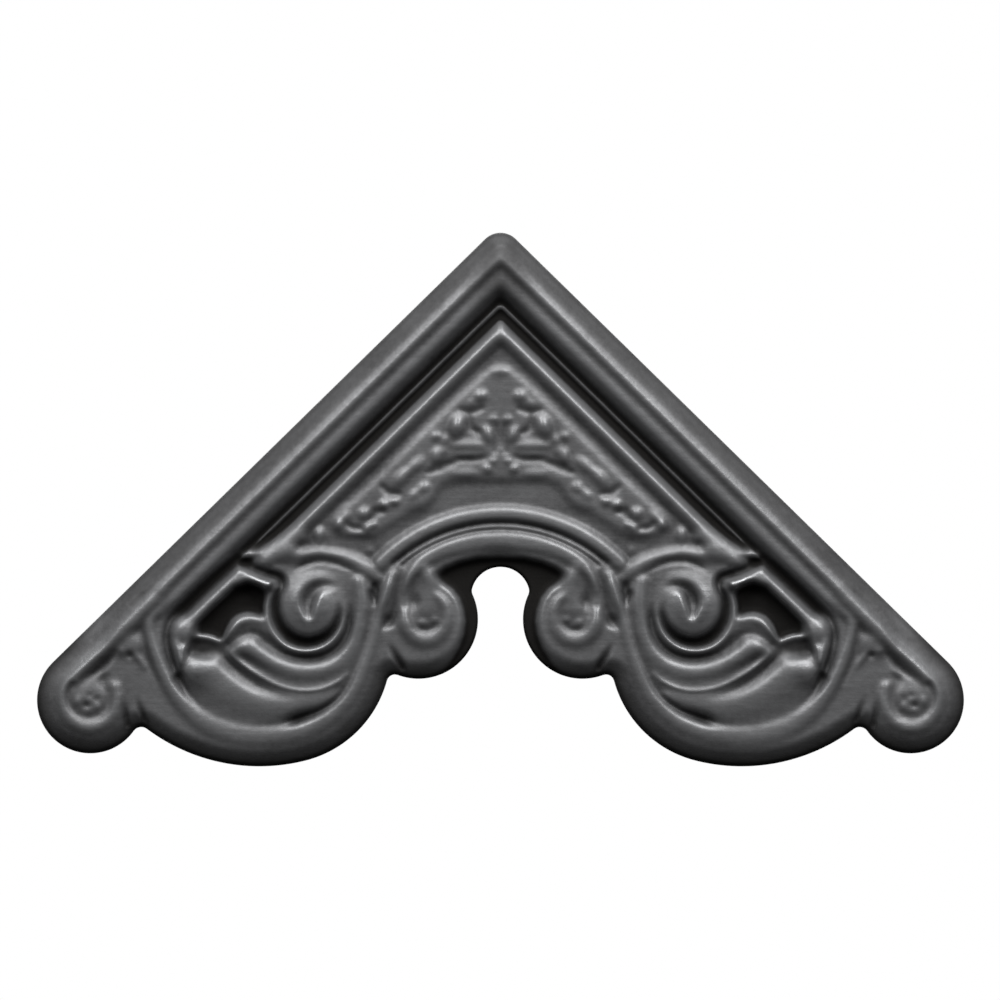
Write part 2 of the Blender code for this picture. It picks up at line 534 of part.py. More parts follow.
def press_large_volute(die):
    """The large volute: a ball with a hook, in a groove with a thin ring."""
    die.dome(BALL_CENTRE, (14.6, 15.2), 11.0, 3.8, blend=2.4)
    die.groove([(65, -158.6, 1.0, 8.0), (64.8, -165.6, 1.7, 5.8), (66.6, -173.4, 2.0, 5.0),
                (71.2, -179.6, 2.1, 4.6), (78.4, -183.2, 2.2, 4.4), (86.6, -183.4, 2.4, 4.6),
                (94, -181, 3.0, 5.4), (100, -176.4, 3.8, 6.0), (105, -172.8, 3.4, 6.6),
                (110.4, -173.2, 2.4, 6.8), (115, -176, 1.8, 6.2), (118, -178.4, 1.8, 4.6)], rise=3.0)
    die.groove([(69, -160.4, 0.9, 8.0), (69.6, -166, 1.6, 5.6), (71.8, -171.4, 2.3, 3.8),
                (76.4, -175.4, 2.7, 3.2), (82.6, -177.2, 2.9, 3.0), (89, -175.6, 2.9, 3.0),
                (94, -171, 2.6, 3.2), (96.8, -164.6, 2.4, 3.4), (96.8, -157.4, 2.2, 3.6),
                (94.4, -151.8, 2.0, 3.8), (95, -148.8, 2.0, 3.8), (100, -147.0, 2.1, 3.6),
                (106.4, -144.6, 2.2, 3.4), (112.6, -140.6, 2.6, 3.0)], rise=4.0)
    die.ridge(round_route(RING_CENTRE, RING_RADIUS, 170, 402, 1.5, 8.6, 20), blend=0.6, drop=2.6)
    die.groove([(60.6, -147.4, 0.9, 7.6), (66, -144.2, 1.3, 5.8), (72, -142.0, 1.5, 5.2),
                (79, -141.4, 1.5, 5.2), (84.6, -143.0, 1.5, 5.4), (88.2, -145.6, 1.0, 7.0)], rise=3.0)
    die.groove([(63.6, -148.2, 1.1, 7.6), (72, -145.6, 1.3, 7.2), (80, -145.2, 1.2, 7.2),
                (86, -147, 0.9, 8.0)], rise=2.4)
    die.groove([(65.8, -155.0, 1.8, 8.9), (71.0, -152.3, 2.6, 8.1), (76.6, -152.0, 3.0, 7.5),
                (80.8, -154.6, 3.2, 7.2), (82.8, -159.4, 3.1, 7.2), (82.4, -165.2, 2.1, 8.8)],
               rise=2.4)
    die.groove([(54.2, -152.4, 2.2, 5.0), (54.4, -156, 2.2, 3.8), (54, -160, 1.4, 5.8)], rise=4.6)
    die.line([(55.4, -153.2, 2.6), (53.8, -156.4, 2.2)])


def press_bead(die):
    """The end of the outer bead, where it curls into the foot."""
    die.groove([leg_spot(216, 13.9) + (1.6, 8.6), leg_spot(223, 13.7) + (2.0, 7.8),
               (156.5, -168.3, 2.4, 7.2), (163, -175.4, 2.8, 6.6), (168.2, -181.8, 3.4, 6.0),
               (172.2, -187.4, 3.4, 6.0), (176.4, -190.8, 2.4, 6.4), (181, -194, 1.8, 7.0),
               (183.8, -199, 1.4, 7.4)], rise=3.0)
    stops = [leg_spot(run, BEAD_LINE) + (4.4, crest) for run, crest in
             ((206, 8.6), (213, 9.6), (219, 10.5), (227, BEAD_CREST), (238, BEAD_CREST))]
    stops += [(174.6, -181.8, 4.4, 10.4), (181, -188, 4.4, 10.1), (185.8, -194, 4.4, 9.8),
              (188, -201, 4.4, 9.5), (186.4, -208, 4.4, 9.3), (180.6, -212.6, 4.4, 9.2),
              (173, -212.6, 4.4, 9.2), (167.2, -208.4, 4.2, 9.2), (165, -202, 3.8, 9.2),
              (165.6, -195.6, 3.2, 9.0)]
    die.ridge(stops, blend=1.6, drop=3.0)


def press_foot(die):
    """The eye of the foot, the berry above it and the folds at its notch."""
    die.groove(round_route(EYE_CENTRE, 8.3, 150, 400, 1.4, 7.4, 16), rise=1.8)
    die.groove([(169.2, -191, 2.0, 6.8), (171.4, -193.4, 2.2, 6.0), (170.2, -197.4, 1.5, 6.8)],
               rise=2.4)
    die.dome(EYE_CENTRE, (6.8, 6.8), 8.9, 1.2, blend=1.6)
    for x, z, across, up, rise in EYE_BEADS:
        die.bead((x, z), (across, up), rise)
    die.dome((159.6, -177.4), (6.4, 5.6), 9.3, 1.6, turn=-15, blend=1.8)
    die.ridge([(157.6, -181.2, 1.8, 8.9), (155, -184.4, 1.8, 8.8), (153.2, -187.8, 1.3, 8.2)],
              blend=1.0, drop=2.6)
    die.bead((163.2, -180.2), (2.8, 1.7), 0.7, turn=20)
    die.bead((159.6, -182.2), (2.1, 1.5), -2.0)
    die.groove([(154, -172, 1.4, 7.8), (153, -179, 1.6, 7.2), (151, -186.4, 1.9, 7.0),
                (147.4, -194, 1.8, 7.4)], rise=2.4)
    die.groove([(157.2, -199.4, 1.0, 7.6), (155.6, -204, 1.6, 6.2), (153.2, -211, 2.2, 3.6)])
    die.groove([(162, -199.4, 1.0, 7.6), (161.6, -205, 1.6, 6.2), (160.4, -213, 2.2, 3.4)])


def rim_limit(spots, edge):
    """How high the sheet can stand at a distance in from its cut edge."""
    inward = leg_distance(spots)
    on_leg = smooth_step(20, 14, inward) * smooth_step(250, 228, leg_run(spots))
    slope = SCROLL_RIM_SLOPE + (LEG_RIM_SLOPE - SCROLL_RIM_SLOPE) * on_leg
    edge = np.maximum(edge, 0)
    roll = RIM_RISE * np.sqrt(1 - (1 - np.minimum(edge / RIM_WIDTH, 1)) ** 2)
    return roll + slope * edge


def edge_distance(spots, outline):
    """Distance in from the outline, up to a limit; negative outside it."""
    near, distance, _ = follow(outline, spots, EDGE_REACH)
    signed = np.full(len(spots), EDGE_REACH)
    signed[near] = distance
    just_right_of_the_axis = np.column_stack([np.maximum(spots[:, 0], 1e-6), spots[:, 1]])
    return np.where(inside(just_right_of_the_axis, outline), signed, -signed)


def pressed_relief(spots):
    """Height of the relief over the whole right half, before the rim bends it down."""
    die = Die(spots)
    for press in (press_rails, press_panel, press_flowers, press_arch, press_leaves, press_pocket,
                  press_ribbon, press_small_volute, press_large_volute, press_bead, press_foot):
        press(die)
    return die.height


# Height maps: the relief worked out once on an even grid, for both faces of the sheet

class HeightMap:
    """Heights on an even grid over the right half, with a strip of the left half beside them."""

    def __init__(self, outline):
        self.low = np.array([0.0, outline[:, 1].min() - MAP_MARGIN * MAP_STEP])
        self.columns = int(outline[:, 0].max() / MAP_STEP) + MAP_MARGIN
        self.rows = int(-self.low[1] / MAP_STEP) + MAP_MARGIN
        steps = np.meshgrid(np.arange(self.columns), np.arange(self.rows), indexing="ij")
        self.spots = self.low + MAP_STEP * np.column_stack([steps[0].ravel(), steps[1].ravel()])
        self.heights = None

    def fill(self, heights):
        """Take the heights at the spots of the map, and mirror a strip of them to the left."""
        right = heights.reshape(self.columns, self.rows)
        self.heights = np.vstack([right[MAP_MARGIN:0:-1], right])
        return self

    def rounded(self):
        """The heights at the map's spots, with every edge rounded as pressed sheet rounds it."""
        reach = int(2.5 * PRESSED_ROUNDING / MAP_STEP)
        shifts = np.arange(-reach, reach + 1)
        shares = np.exp(-0.5 * (shifts * MAP_STEP / PRESSED_ROUNDING) ** 2)
        soft = self.heights
        for axis in (0, 1):
            soft = sum(share * np.roll(soft, shift, axis=axis)
                       for shift, share in zip(shifts, shares / shares.sum()))
        return soft[MAP_MARGIN:].ravel()

    def worn_away(self):
        """The heights at the map's spots after a ball as big as the sheet is thick wears them."""
        reach = int(SHEET / MAP_STEP)
        worn = self.heights - SHEET
        for across in range(-reach, reach + 1):
            for up in range(-reach, reach + 1):
                gap = MAP_STEP * np.hypot(across, up)
                if gap <= SHEET:
                    moved = np.roll(self.heights, (across, up), axis=(0, 1))
                    worn = np.minimum(worn, moved - np.sqrt(SHEET**2 - gap**2))
        return worn[MAP_MARGIN:].ravel()

    def at(self, spots):
        """The height at any spots, mixed from the four heights round each."""
        place = (spots - self.low) / MAP_STEP + [MAP_MARGIN, 0]
        cell = np.minimum(np.floor(place).astype(int), np.array(self.heights.shape) - 2)
        part = place - cell
        mixed = np.zeros(len(spots))
        for across in (0, 1):
            for up in (0, 1):
                share = np.abs(1 - across - part[:, 0]) * np.abs(1 - up - part[:, 1])
                mixed += share * self.heights[cell[:, 0] + across, cell[:, 1] + up]
        return mixed


def rimmed(heights, spots, outline):
    """The relief with its rim bent down to the back plane."""
    limit = rim_limit(spots, edge_distance(spots, outline))
    return np.maximum(smooth_min(heights, limit, RIM_BLEND), 0.0)


# The mesh

def spaced_out(path, spacing):
    """The points of a path that are not much nearer to each other than the spacing."""
    kept = [path[0]]
    for point in path[1:]:
        if np.linalg.norm(point - kept[-1]) > 0.7 * spacing:
            kept.append(point)
    return np.array(kept)


def triangulate(boundary, outline, start, rows, spacing):
    """Spots and triangles that fill one half, inside a boundary that begins and ends at x = 0."""
    inner = []
    for row in rows:
        candidates = spaced_out(inset(outline, start + row), min(spacing, OUTLINE_SPACING))
        deep = edge_distance(candidates, outline) > 0.97 * (start + row)
        inner.append(candidates[deep & (candidates[:, 0] > 0.4 * spacing)])
    low, high = outline.min(axis=0), outline.max(axis=0)
    for index, z in enumerate(np.arange(low[1], high[1], spacing * np.sqrt(3) / 2)):
        x = np.arange(spacing * (0.5 if index % 2 else 1.0), high[0], spacing)
        inner.append(np.column_stack([x, np.full(len(x), z)]))
    grid = np.vstack(inner[len(rows):])
    grid = grid[inside(grid, outline)]
    grid = grid[edge_distance(grid, outline) > start + rows[-1] + 0.6 * spacing]
    spots = np.vstack(inner[:len(rows)] + [grid])
    axis_top, axis_end = boundary[0][1], boundary[-1][1]
    count = int(round((axis_top - axis_end) / spacing))
    axis = np.column_stack([np.zeros(count - 1), np.linspace(axis_end, axis_top, count + 1)[1:-1]])
    loop = np.vstack([boundary, axis])
    edges = [(index, (index + 1) % len(loop)) for index in range(len(loop))]
    points = [Vector(point) for point in np.vstack([loop, spots])]
    found = delaunay_2d_cdt(points, edges, [], 1, 1e-6)
    return np.array([tuple(vertex) for vertex in found[0]]), found[2], found[3], len(boundary)


def add_face_sheet(mesh, face_spots, height_of, flip):
    """Add one face of the sheet to the mesh and return its boundary vertices in order."""
    spots, faces, origins, count = face_spots
    place = {origin: index for index, found in enumerate(origins) for origin in found}
    rim = [place[index] for index in range(count)]
    heights = height_of(spots)
    heights[rim] = 0.0
    vertices = [mesh.verts.new((x, -h, z + RIM_MIDDLE)) for (x, z), h in zip(spots, heights)]
    for face in faces:
        corners = [vertices[index] for index in (reversed(face) if flip else face)]
        mesh.faces.new(corners)
    return [vertices[index] for index in rim]


def half_shell():
    """The right half of the pressed sheet, open where it meets the left half."""
    outline = half_outline()
    relief = HeightMap(outline)
    relief.fill(pressed_relief(relief.spots))
    relief.fill(relief.rounded())

    def front_height(spots):
        return rimmed(relief.at(spots), spots, outline)

    hollow = HeightMap(outline)
    hollow.fill(front_height(hollow.spots))
    hollow.fill(hollow.worn_away())

    def back_height(spots):
        return np.maximum(hollow.at(spots), 0.0)

    mesh = bmesh.new()
    front_spots = triangulate(outline, outline, 0.0, FRONT_ROWS, FRONT_SPACING)
    front_rim = add_face_sheet(mesh, front_spots, front_height, False)
    back_edge = inset(outline, SHEET)
    back_spots = triangulate(back_edge, outline, SHEET, BACK_ROWS, BACK_SPACING)
    back_rim = add_face_sheet(mesh, back_spots, back_height, True)
    for index in range(len(front_rim) - 1):
        mesh.faces.new((front_rim[index], front_rim[index + 1],
                        back_rim[index + 1], back_rim[index]))
    bmesh.ops.triangulate(mesh, faces=[face for face in mesh.faces if len(face.verts) > 3])
    bmesh.ops.scale(mesh, vec=(MILLIMETRE,) * 3, verts=mesh.verts)
    return mesh


def pressed_steel():
    """Dark grey semi-gloss steel."""
    material = bpy.data.materials.new("dark_pressed_steel")
    material.use_nodes = True
    shader = material.node_tree.nodes["Principled BSDF"]
    shader.inputs["Base Color"].default_value = (0.075, 0.075, 0.078, 1.0)
    shader.inputs["Metallic"].default_value = 0.85
    shader.inputs["Roughness"].default_value = 0.42
    return material


def build_ornament(collection):
    """The whole ornament: half a shell, mirrored, then thinned out everywhere but on its rim."""
    shell = half_shell()
    mesh = bpy.data.meshes.new("pressed_ornament")
    shell.to_mesh(mesh)
    shell.free()
    mesh.materials.append(pressed_steel())
    ornament = bpy.data.objects.new("pressed_ornament", mesh)
    collection.objects.link(ornament)
    pressed = ornament.vertex_groups.new(name="pressed_but_not_the_rim")
    pressed.add([vertex.index for vertex in mesh.vertices if vertex.co.y < 0], 1.0, "REPLACE")
    mirror = ornament.modifiers.new("left_half", "MIRROR")
    mirror.merge_threshold = 0.0001
    thin = ornament.modifiers.new("fewer_triangles", "DECIMATE")
    thin.vertex_group = pressed.name
    thin.vertex_group_factor = RIM_PROTECTION
    thin.ratio = TRIANGLES_OF_A_HALF / len(mesh.polygons)
    thin.use_symmetry = True
    thin.symmetry_axis = "X"
    mesh.shade_smooth()
    return ornament


def main():
    for old in list(bpy.data.objects):
        bpy.data.objects.remove(old)
    collection = bpy.data.collections.new("corner_ornament")
    bpy.context.scene.collection.children.link(collection)
    build_ornament(collection)


main()
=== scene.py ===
# %% [markdown]
# A pressed steel corner ornament
#
# This lesson makes one piece: a corner ornament stamped out of a single sheet of steel, the kind
# that is fixed over a door or a gate. Everything that looks like a rail, a leaf or a flower is
# one skin of metal, pushed up from behind by a die. So we don't build fifty small solids. We
# build one height map, press each form of the design into it in turn, and lay a mesh over it.
#
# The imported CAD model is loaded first, as the frame that the finished skin has to fit.

import bmesh
import bpy
import numpy as np
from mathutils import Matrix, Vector
from mathutils.geometry import delaunay_2d_cdt


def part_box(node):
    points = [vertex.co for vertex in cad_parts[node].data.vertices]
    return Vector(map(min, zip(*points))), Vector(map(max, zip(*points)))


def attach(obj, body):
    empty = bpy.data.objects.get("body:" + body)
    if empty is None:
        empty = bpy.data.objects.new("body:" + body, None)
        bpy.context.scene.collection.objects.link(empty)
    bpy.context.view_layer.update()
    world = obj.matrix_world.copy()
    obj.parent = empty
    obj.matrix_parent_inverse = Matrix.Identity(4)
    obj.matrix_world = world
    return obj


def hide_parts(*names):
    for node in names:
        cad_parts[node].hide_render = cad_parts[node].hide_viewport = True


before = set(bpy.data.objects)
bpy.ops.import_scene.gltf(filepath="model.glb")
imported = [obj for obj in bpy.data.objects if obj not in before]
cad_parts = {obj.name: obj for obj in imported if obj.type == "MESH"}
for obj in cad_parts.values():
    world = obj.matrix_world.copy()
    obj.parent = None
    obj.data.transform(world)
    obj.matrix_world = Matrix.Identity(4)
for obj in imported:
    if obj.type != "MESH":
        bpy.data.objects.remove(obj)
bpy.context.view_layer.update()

cad_low, cad_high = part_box("pressed_ornament")
print("the frame's ornament reaches from", tuple(cad_low), "to", tuple(cad_high))

# %% [markdown]
# The photograph's view
#
# The camera looks straight at the front. A long lens from far away keeps the two legs from
# leaning in, as a catalogue photographer would. The picture shows 430.6 mm of the wall from side
# to side, and its middle lies 114.8 mm below the apex.

# %% Set up the camera
MILLIMETRE = 0.001
PICTURE_WIDTH = 430.6
PICTURE_MIDDLE = (-0.2, -114.8)
CAMERA_DISTANCE = 2200.0
FACE_OF_THE_RELIEF = -6.0
SENSOR_WIDTH = 36.0

camera_data = bpy.data.cameras.new("long_lens")
camera_data.sensor_width = SENSOR_WIDTH
camera_data.lens = SENSOR_WIDTH * CAMERA_DISTANCE / PICTURE_WIDTH
camera = bpy.data.objects.new("catalogue_camera", camera_data)
camera.location = Vector((PICTURE_MIDDLE[0], FACE_OF_THE_RELIEF - CAMERA_DISTANCE,
                          PICTURE_MIDDLE[1])) * MILLIMETRE
camera.rotation_euler = (np.pi / 2, 0, 0)
bpy.context.scene.collection.objects.link(camera)
bpy.context.scene.camera = camera
print(f"the lens is {camera_data.lens:.0f} mm long")

# %% [markdown]
# Studio light
#
# The photograph has dark hollows, mid-grey faces and light slopes wherever a form looks up. That
# is raking light: it comes from high above and only skims the front, so every slope that faces up
# is bright and every slope that faces down falls into shade. Two large softboxes hang high on
# both sides, so both halves of the ornament are lit alike. Two smaller ones hang nearer to the
# camera and put a gleam on the rounded crests. One more lights the hollow back for anyone who
# walks round the piece.

# %% Hang the softboxes
AIM = Vector((0.0, 0.0, -120.0)) * MILLIMETRE


def hang_softbox(name, place, size, power):
    """A square area light at a place in millimetres, turned to face the ornament."""
    light = bpy.data.lights.new(name, "AREA")
    light.shape = "SQUARE"
    light.size = size * MILLIMETRE
    light.energy = power
    softbox = bpy.data.objects.new(name, light)
    softbox.location = Vector(place) * MILLIMETRE
    softbox.rotation_euler = (AIM - softbox.location).to_track_quat("-Z", "Y").to_euler()
    bpy.context.scene.collection.objects.link(softbox)
    return softbox


hang_softbox("left_softbox", (-560.0, -900.0, 1450.0), 1000.0, 29.0)
hang_softbox("right_softbox", (560.0, -900.0, 1450.0), 1000.0, 33.0)
hang_softbox("left_gleam", (-850.0, -1500.0, 1000.0), 650.0, 20.0)
hang_softbox("right_gleam", (850.0, -1500.0, 1000.0), 650.0, 23.0)
hang_softbox("back_softbox", (0.0, 1700.0, 300.0), 1400.0, 14.0).visible_camera = False
print("five softboxes hang round the ornament")

# %% [markdown]
# The white studio
#
# The ground of the photograph is pure white, but a white room all round would fill every hollow
# with light. So the camera sees white, and the metal sees a dim room that is darkest below. A
# Light Path node tells the two apart.

# %% Paint the studio
HEIGHTS_OF_THE_ROOM = (-0.6, 0.7)
LIGHT_OF_THE_ROOM = (0.05, 0.42)


def light_the_studio():
    """White for the camera, and for the metal a dim room that is darkest below."""
    world = bpy.data.worlds.new("white_studio")
    world.use_nodes = True
    nodes, links = world.node_tree.nodes, world.node_tree.links
    backdrop = nodes["Background"]
    backdrop.inputs["Color"].default_value = (1.0, 1.0, 1.0, 1.0)
    surroundings = nodes.new("ShaderNodeBackground")
    direction = nodes.new("ShaderNodeTexCoord")
    upwards = nodes.new("ShaderNodeSeparateXYZ")
    links.new(direction.outputs["Generated"], upwards.inputs["Vector"])
    brightness = nodes.new("ShaderNodeMapRange")
    for kind, (least, most) in (("From", HEIGHTS_OF_THE_ROOM), ("To", LIGHT_OF_THE_ROOM)):
        brightness.inputs[kind + " Min"].default_value = least
        brightness.inputs[kind + " Max"].default_value = most
    links.new(upwards.outputs["Z"], brightness.inputs["Value"])
    links.new(brightness.outputs["Result"], surroundings.inputs["Strength"])
    seen = nodes.new("ShaderNodeLightPath")
    mix = nodes.new("ShaderNodeMixShader")
    links.new(seen.outputs["Is Camera Ray"], mix.inputs["Fac"])
    links.new(surroundings.outputs["Background"], mix.inputs[1])
    links.new(backdrop.outputs["Background"], mix.inputs[2])
    links.new(mix.outputs["Shader"], nodes["World Output"].inputs["Surface"])
    return world


bpy.context.scene.world = light_the_studio()
bpy.context.scene.view_settings.view_transform = "Standard"
print("the studio is", bpy.context.scene.world.name)

# %% [markdown]
# The floor
#
# The ornament hangs free in the picture, so the pale floor lies well below it, for anyone who
# walks round the piece. The metal doesn't mirror it: in the photograph all that faces down is dark.

# %% Lay the floor
FLOOR_LEVEL = -900.0
FLOOR_SIZE = 8000.0


def plain_finish(name, colour, roughness):
    """A plain painted finish for things that aren't part of the ornament."""
    finish = bpy.data.materials.new(name)
    finish.use_nodes = True
    shader = finish.node_tree.nodes["Principled BSDF"]
    shader.inputs["Base Color"].default_value = (*colour, 1.0)
    shader.inputs["Roughness"].default_value = roughness
    return finish


bpy.ops.mesh.primitive_plane_add(size=FLOOR_SIZE * MILLIMETRE,
                                 location=(0.0, 0.0, FLOOR_LEVEL * MILLIMETRE))
floor = bpy.context.object
floor.name = "pale_floor"
floor.data.materials.append(plain_finish("pale_floor_paint", (0.8, 0.8, 0.8), 0.9))
floor.visible_diffuse = False
floor.visible_glossy = False
print("the floor lies", -FLOOR_LEVEL, "mm below the apex")

# %% [markdown]
# The outline, one half of it
#
# The ornament is the same on both sides, so only the right half is drawn and a mirror makes the
# other. Its outline is a chain of straight lines and arcs that touch each other: the rounded
# apex, the straight leg, the foot, the wide lower scroll, the small volute and the notch. A
# maker would scribe it with a rule and compasses, and we do the same with centres and radii.

# %% Set the centres and radii
SHEET = 1.2
LEG_SLOPE = np.radians(44.4)
CORNER_TOP = 3.8
APEX_RADIUS = 9.5
FOOT_CENTRE = (177.1, -201.8)
FOOT_RADIUS = 23.0
SCROLL_CENTRE = (96.1, -180.6)
SCROLL_RADIUS = 48.8
SCROLL_FLAT_RADIUS = 81.0
SCROLL_TURN = np.radians(75.6)
VOLUTE_CENTRE = (35.4, -166.9)
VOLUTE_RADIUS = 25.7
NOTCH_CENTRE = (0.0, -157.0)
NOTCH_RADIUS = 12.7
FOOT_FILLET = 4.0
SCROLL_FILLET = 3.5
NOTCH_FILLET = 4.0

LEG_ALONG = np.array([np.cos(LEG_SLOPE), -np.sin(LEG_SLOPE)])
LEG_INWARD = np.array([-np.sin(LEG_SLOPE), -np.cos(LEG_SLOPE)])
print("the leg falls", round(-100 * LEG_ALONG[1] / LEG_ALONG[0], 1), "mm on every 100 mm of width")

# %% [markdown]
# Rule and compasses
#
# Three small helpers stand in for the maker's tools. One finds the centre of a rounding that
# touches two circles, one walks along an arc and one along a straight line. Blender has curve
# objects for this, but plain points are easier to measure from later.

# %% Take rule and compasses
OUTLINE_SPACING = 1.2


def unit(vector):
    return vector / np.linalg.norm(vector)


def rounding_centre(first, first_distance, second, second_distance, hint):
    """The point at set distances from two centres that lies nearest to a hint."""
    first, second = np.array(first), np.array(second)
    span = np.linalg.norm(second - first)
    along = (span**2 + first_distance**2 - second_distance**2) / (2 * span)
    aside = np.sqrt(first_distance**2 - along**2)
    direction = (second - first) / span
    sideways = np.array([-direction[1], direction[0]])
    options = [first + along * direction + sign * aside * sideways for sign in (1, -1)]
    return min(options, key=lambda option: np.linalg.norm(option - np.array(hint)))


def arc(centre, start, end, turn):
    """Points about a centre from start towards end; turn is 1 anticlockwise and -1 clockwise."""
    centre = np.array(centre)
    radius = np.linalg.norm(start - centre)
    first = np.arctan2(*(start - centre)[::-1])
    sweep = (turn * (np.arctan2(*(end - centre)[::-1]) - first)) % (2 * np.pi)
    count = max(3, int(np.ceil(sweep * radius / OUTLINE_SPACING)))
    angles = first + turn * np.linspace(0, sweep, count + 1)
    return [centre + radius * np.array([np.cos(angle), np.sin(angle)]) for angle in angles[:-1]]


def straight(start, end):
    count = max(1, int(np.ceil(np.linalg.norm(end - start) / OUTLINE_SPACING)))
    return [start + (end - start) * step / count for step in range(count)]


print("a straight of 12 mm gets", len(straight(np.zeros(2), np.array([12.0, 0.0]))), "points")

# %% [markdown]
# Scribe the outline
#
# Now the lines and arcs are joined, each starting where the last one ends. Where two circles
# touch, they do it on the line between their centres, so hardly any angle has to be measured.

# %% Scribe the outline
def half_outline():
    """The right half of the outline, clockwise from the apex to the top of the notch."""
    foot, scroll = np.array(FOOT_CENTRE), np.array(SCROLL_CENTRE)
    volute, notch = np.array(VOLUTE_CENTRE), np.array(NOTCH_CENTRE)
    lean = np.array([np.cos(SCROLL_TURN), np.sin(SCROLL_TURN)])
    flat = scroll + (SCROLL_FLAT_RADIUS - SCROLL_RADIUS) * lean
    apex = np.array([0.0, -APEX_RADIUS])
    foot_notch = rounding_centre(
        foot, FOOT_RADIUS + FOOT_FILLET, flat, SCROLL_FLAT_RADIUS + FOOT_FILLET, (155, -218))
    scroll_notch = rounding_centre(
        scroll, SCROLL_RADIUS + SCROLL_FILLET, volute, VOLUTE_RADIUS + SCROLL_FILLET, (45, -195))
    notch_corner = rounding_centre(
        volute, VOLUTE_RADIUS + NOTCH_FILLET, notch, NOTCH_RADIUS - NOTCH_FILLET, (9, -155))

    leg_start = apex - APEX_RADIUS * LEG_INWARD
    leg_end = foot - FOOT_RADIUS * LEG_INWARD
    foot_end = foot + FOOT_RADIUS * unit(foot_notch - foot)
    flat_start = flat + SCROLL_FLAT_RADIUS * unit(foot_notch - flat)
    flat_end = scroll - SCROLL_RADIUS * lean
    scroll_end = scroll + SCROLL_RADIUS * unit(scroll_notch - scroll)
    volute_start = volute + VOLUTE_RADIUS * unit(scroll_notch - volute)
    volute_end = volute + VOLUTE_RADIUS * unit(notch_corner - volute)
    notch_start = notch + NOTCH_RADIUS * unit(notch_corner - notch)
    notch_top = notch + np.array([0.0, NOTCH_RADIUS])

    path = arc(apex, np.array([0.0, 0.0]), leg_start, -1)
    path += straight(leg_start, leg_end)
    path += arc(foot, leg_end, foot_end, -1)
    path += arc(foot_notch, foot_end, flat_start, 1)
    path += arc(flat, flat_start, flat_end, -1)
    path += arc(scroll, flat_end, scroll_end, -1)
    path += arc(scroll_notch, scroll_end, volute_start, 1)
    path += arc(volute, volute_start, volute_end, -1)
    path += arc(notch_corner, volute_end, notch_start, 1)
    path += arc(notch, notch_start, notch_top, 1)
    return np.array(path + [notch_top])


outline = half_outline()
print(len(outline), "points; the half is", round(outline[:, 0].max(), 1), "mm wide and",
      round(-outline[:, 1].min(), 1), "mm high")

# %% [markdown]
# The height map
#
# A die sinker thinks of a relief as heights: how far each spot stands in front of the wall. So
# the design lives in one array, with a height for every spot of a fine grid over the right half.
# A displacement texture would hold the same thing, but here every form stays a named size that
# can be changed.

# %% Lay out the height map
MAP_STEP = 0.35
MAP_MARGIN = 12
GROUND = 7.6


class HeightMap:
    """Heights on an even grid over the right half, with a strip of the left half beside them."""

    def __init__(self):
        self.low = np.array([0.0, outline[:, 1].min() - MAP_MARGIN * MAP_STEP])
        self.columns = int(outline[:, 0].max() / MAP_STEP) + MAP_MARGIN
        self.rows = int(-self.low[1] / MAP_STEP) + MAP_MARGIN
        steps = np.meshgrid(np.arange(self.columns), np.arange(self.rows), indexing="ij")
        self.spots = self.low + MAP_STEP * np.column_stack([steps[0].ravel(), steps[1].ravel()])
        self.heights = None

    def fill(self, heights):
        """Take the heights at the spots of the map, and mirror a strip of them to the left."""
        right = heights.reshape(self.columns, self.rows)
        self.heights = np.vstack([right[MAP_MARGIN:0:-1], right])
        return self

    def right_half(self):
        """The heights at the spots of the map, without the strip on the left."""
        return self.heights[MAP_MARGIN:].ravel()

    def at(self, spots):
        """The height at any spots, mixed from the four heights round each."""
        place = (spots - self.low) / MAP_STEP + [MAP_MARGIN, 0]
        cell = np.minimum(np.floor(place).astype(int), np.array(self.heights.shape) - 2)
        part = place - cell
        mixed = np.zeros(len(spots))
        for across in (0, 1):
            for up in (0, 1):
                share = np.abs(1 - across - part[:, 0]) * np.abs(1 - up - part[:, 1])
                mixed += share * self.heights[cell[:, 0] + across, cell[:, 1] + up]
        return mixed


relief = HeightMap()
spots = relief.spots
height = np.full(len(spots), GROUND)
print(len(spots), "spots, each", MAP_STEP, "mm from the next")

# %% [markdown]
# The pressing tools
#
# Six small tools make nearly every form. A ridge, a groove and a thin line follow a curved route,
# and at each stop a ridge or groove is told how wide it is and how high. A dome is an oval
# swelling, a bead is a small drop laid on top of what is there, and a field is a whole area that
# is lifted or sunk. Where two forms meet they are blended, because a sheet of metal never shows a
# knife edge.

# %% Blend two heights
def smooth_step(start, end, value):
    part = np.clip((value - start) / (end - start), 0, 1)
    return part * part * (3 - 2 * part)


def smooth_max(first, second, blend):
    share = np.clip(0.5 + 0.5 * (first - second) / blend, 0, 1)
    return second + (first - second) * share + blend * share * (1 - share)


def smooth_min(first, second, blend):
    return -smooth_max(-first, -second, blend)


print("two heights of 4 blend to", smooth_max(4.0, 4.0, 1.0))

# %% [markdown]
# Routes
#
# A ridge or a groove is drawn by a few stops and a smooth curve through them, as one would bend a
# thin strip of wood round nails. A Catmull-Rom curve goes through every stop and needs no handles,
# as a Bezier curve would. For every spot near the curve we then need its distance from it, and
# what the route says there.

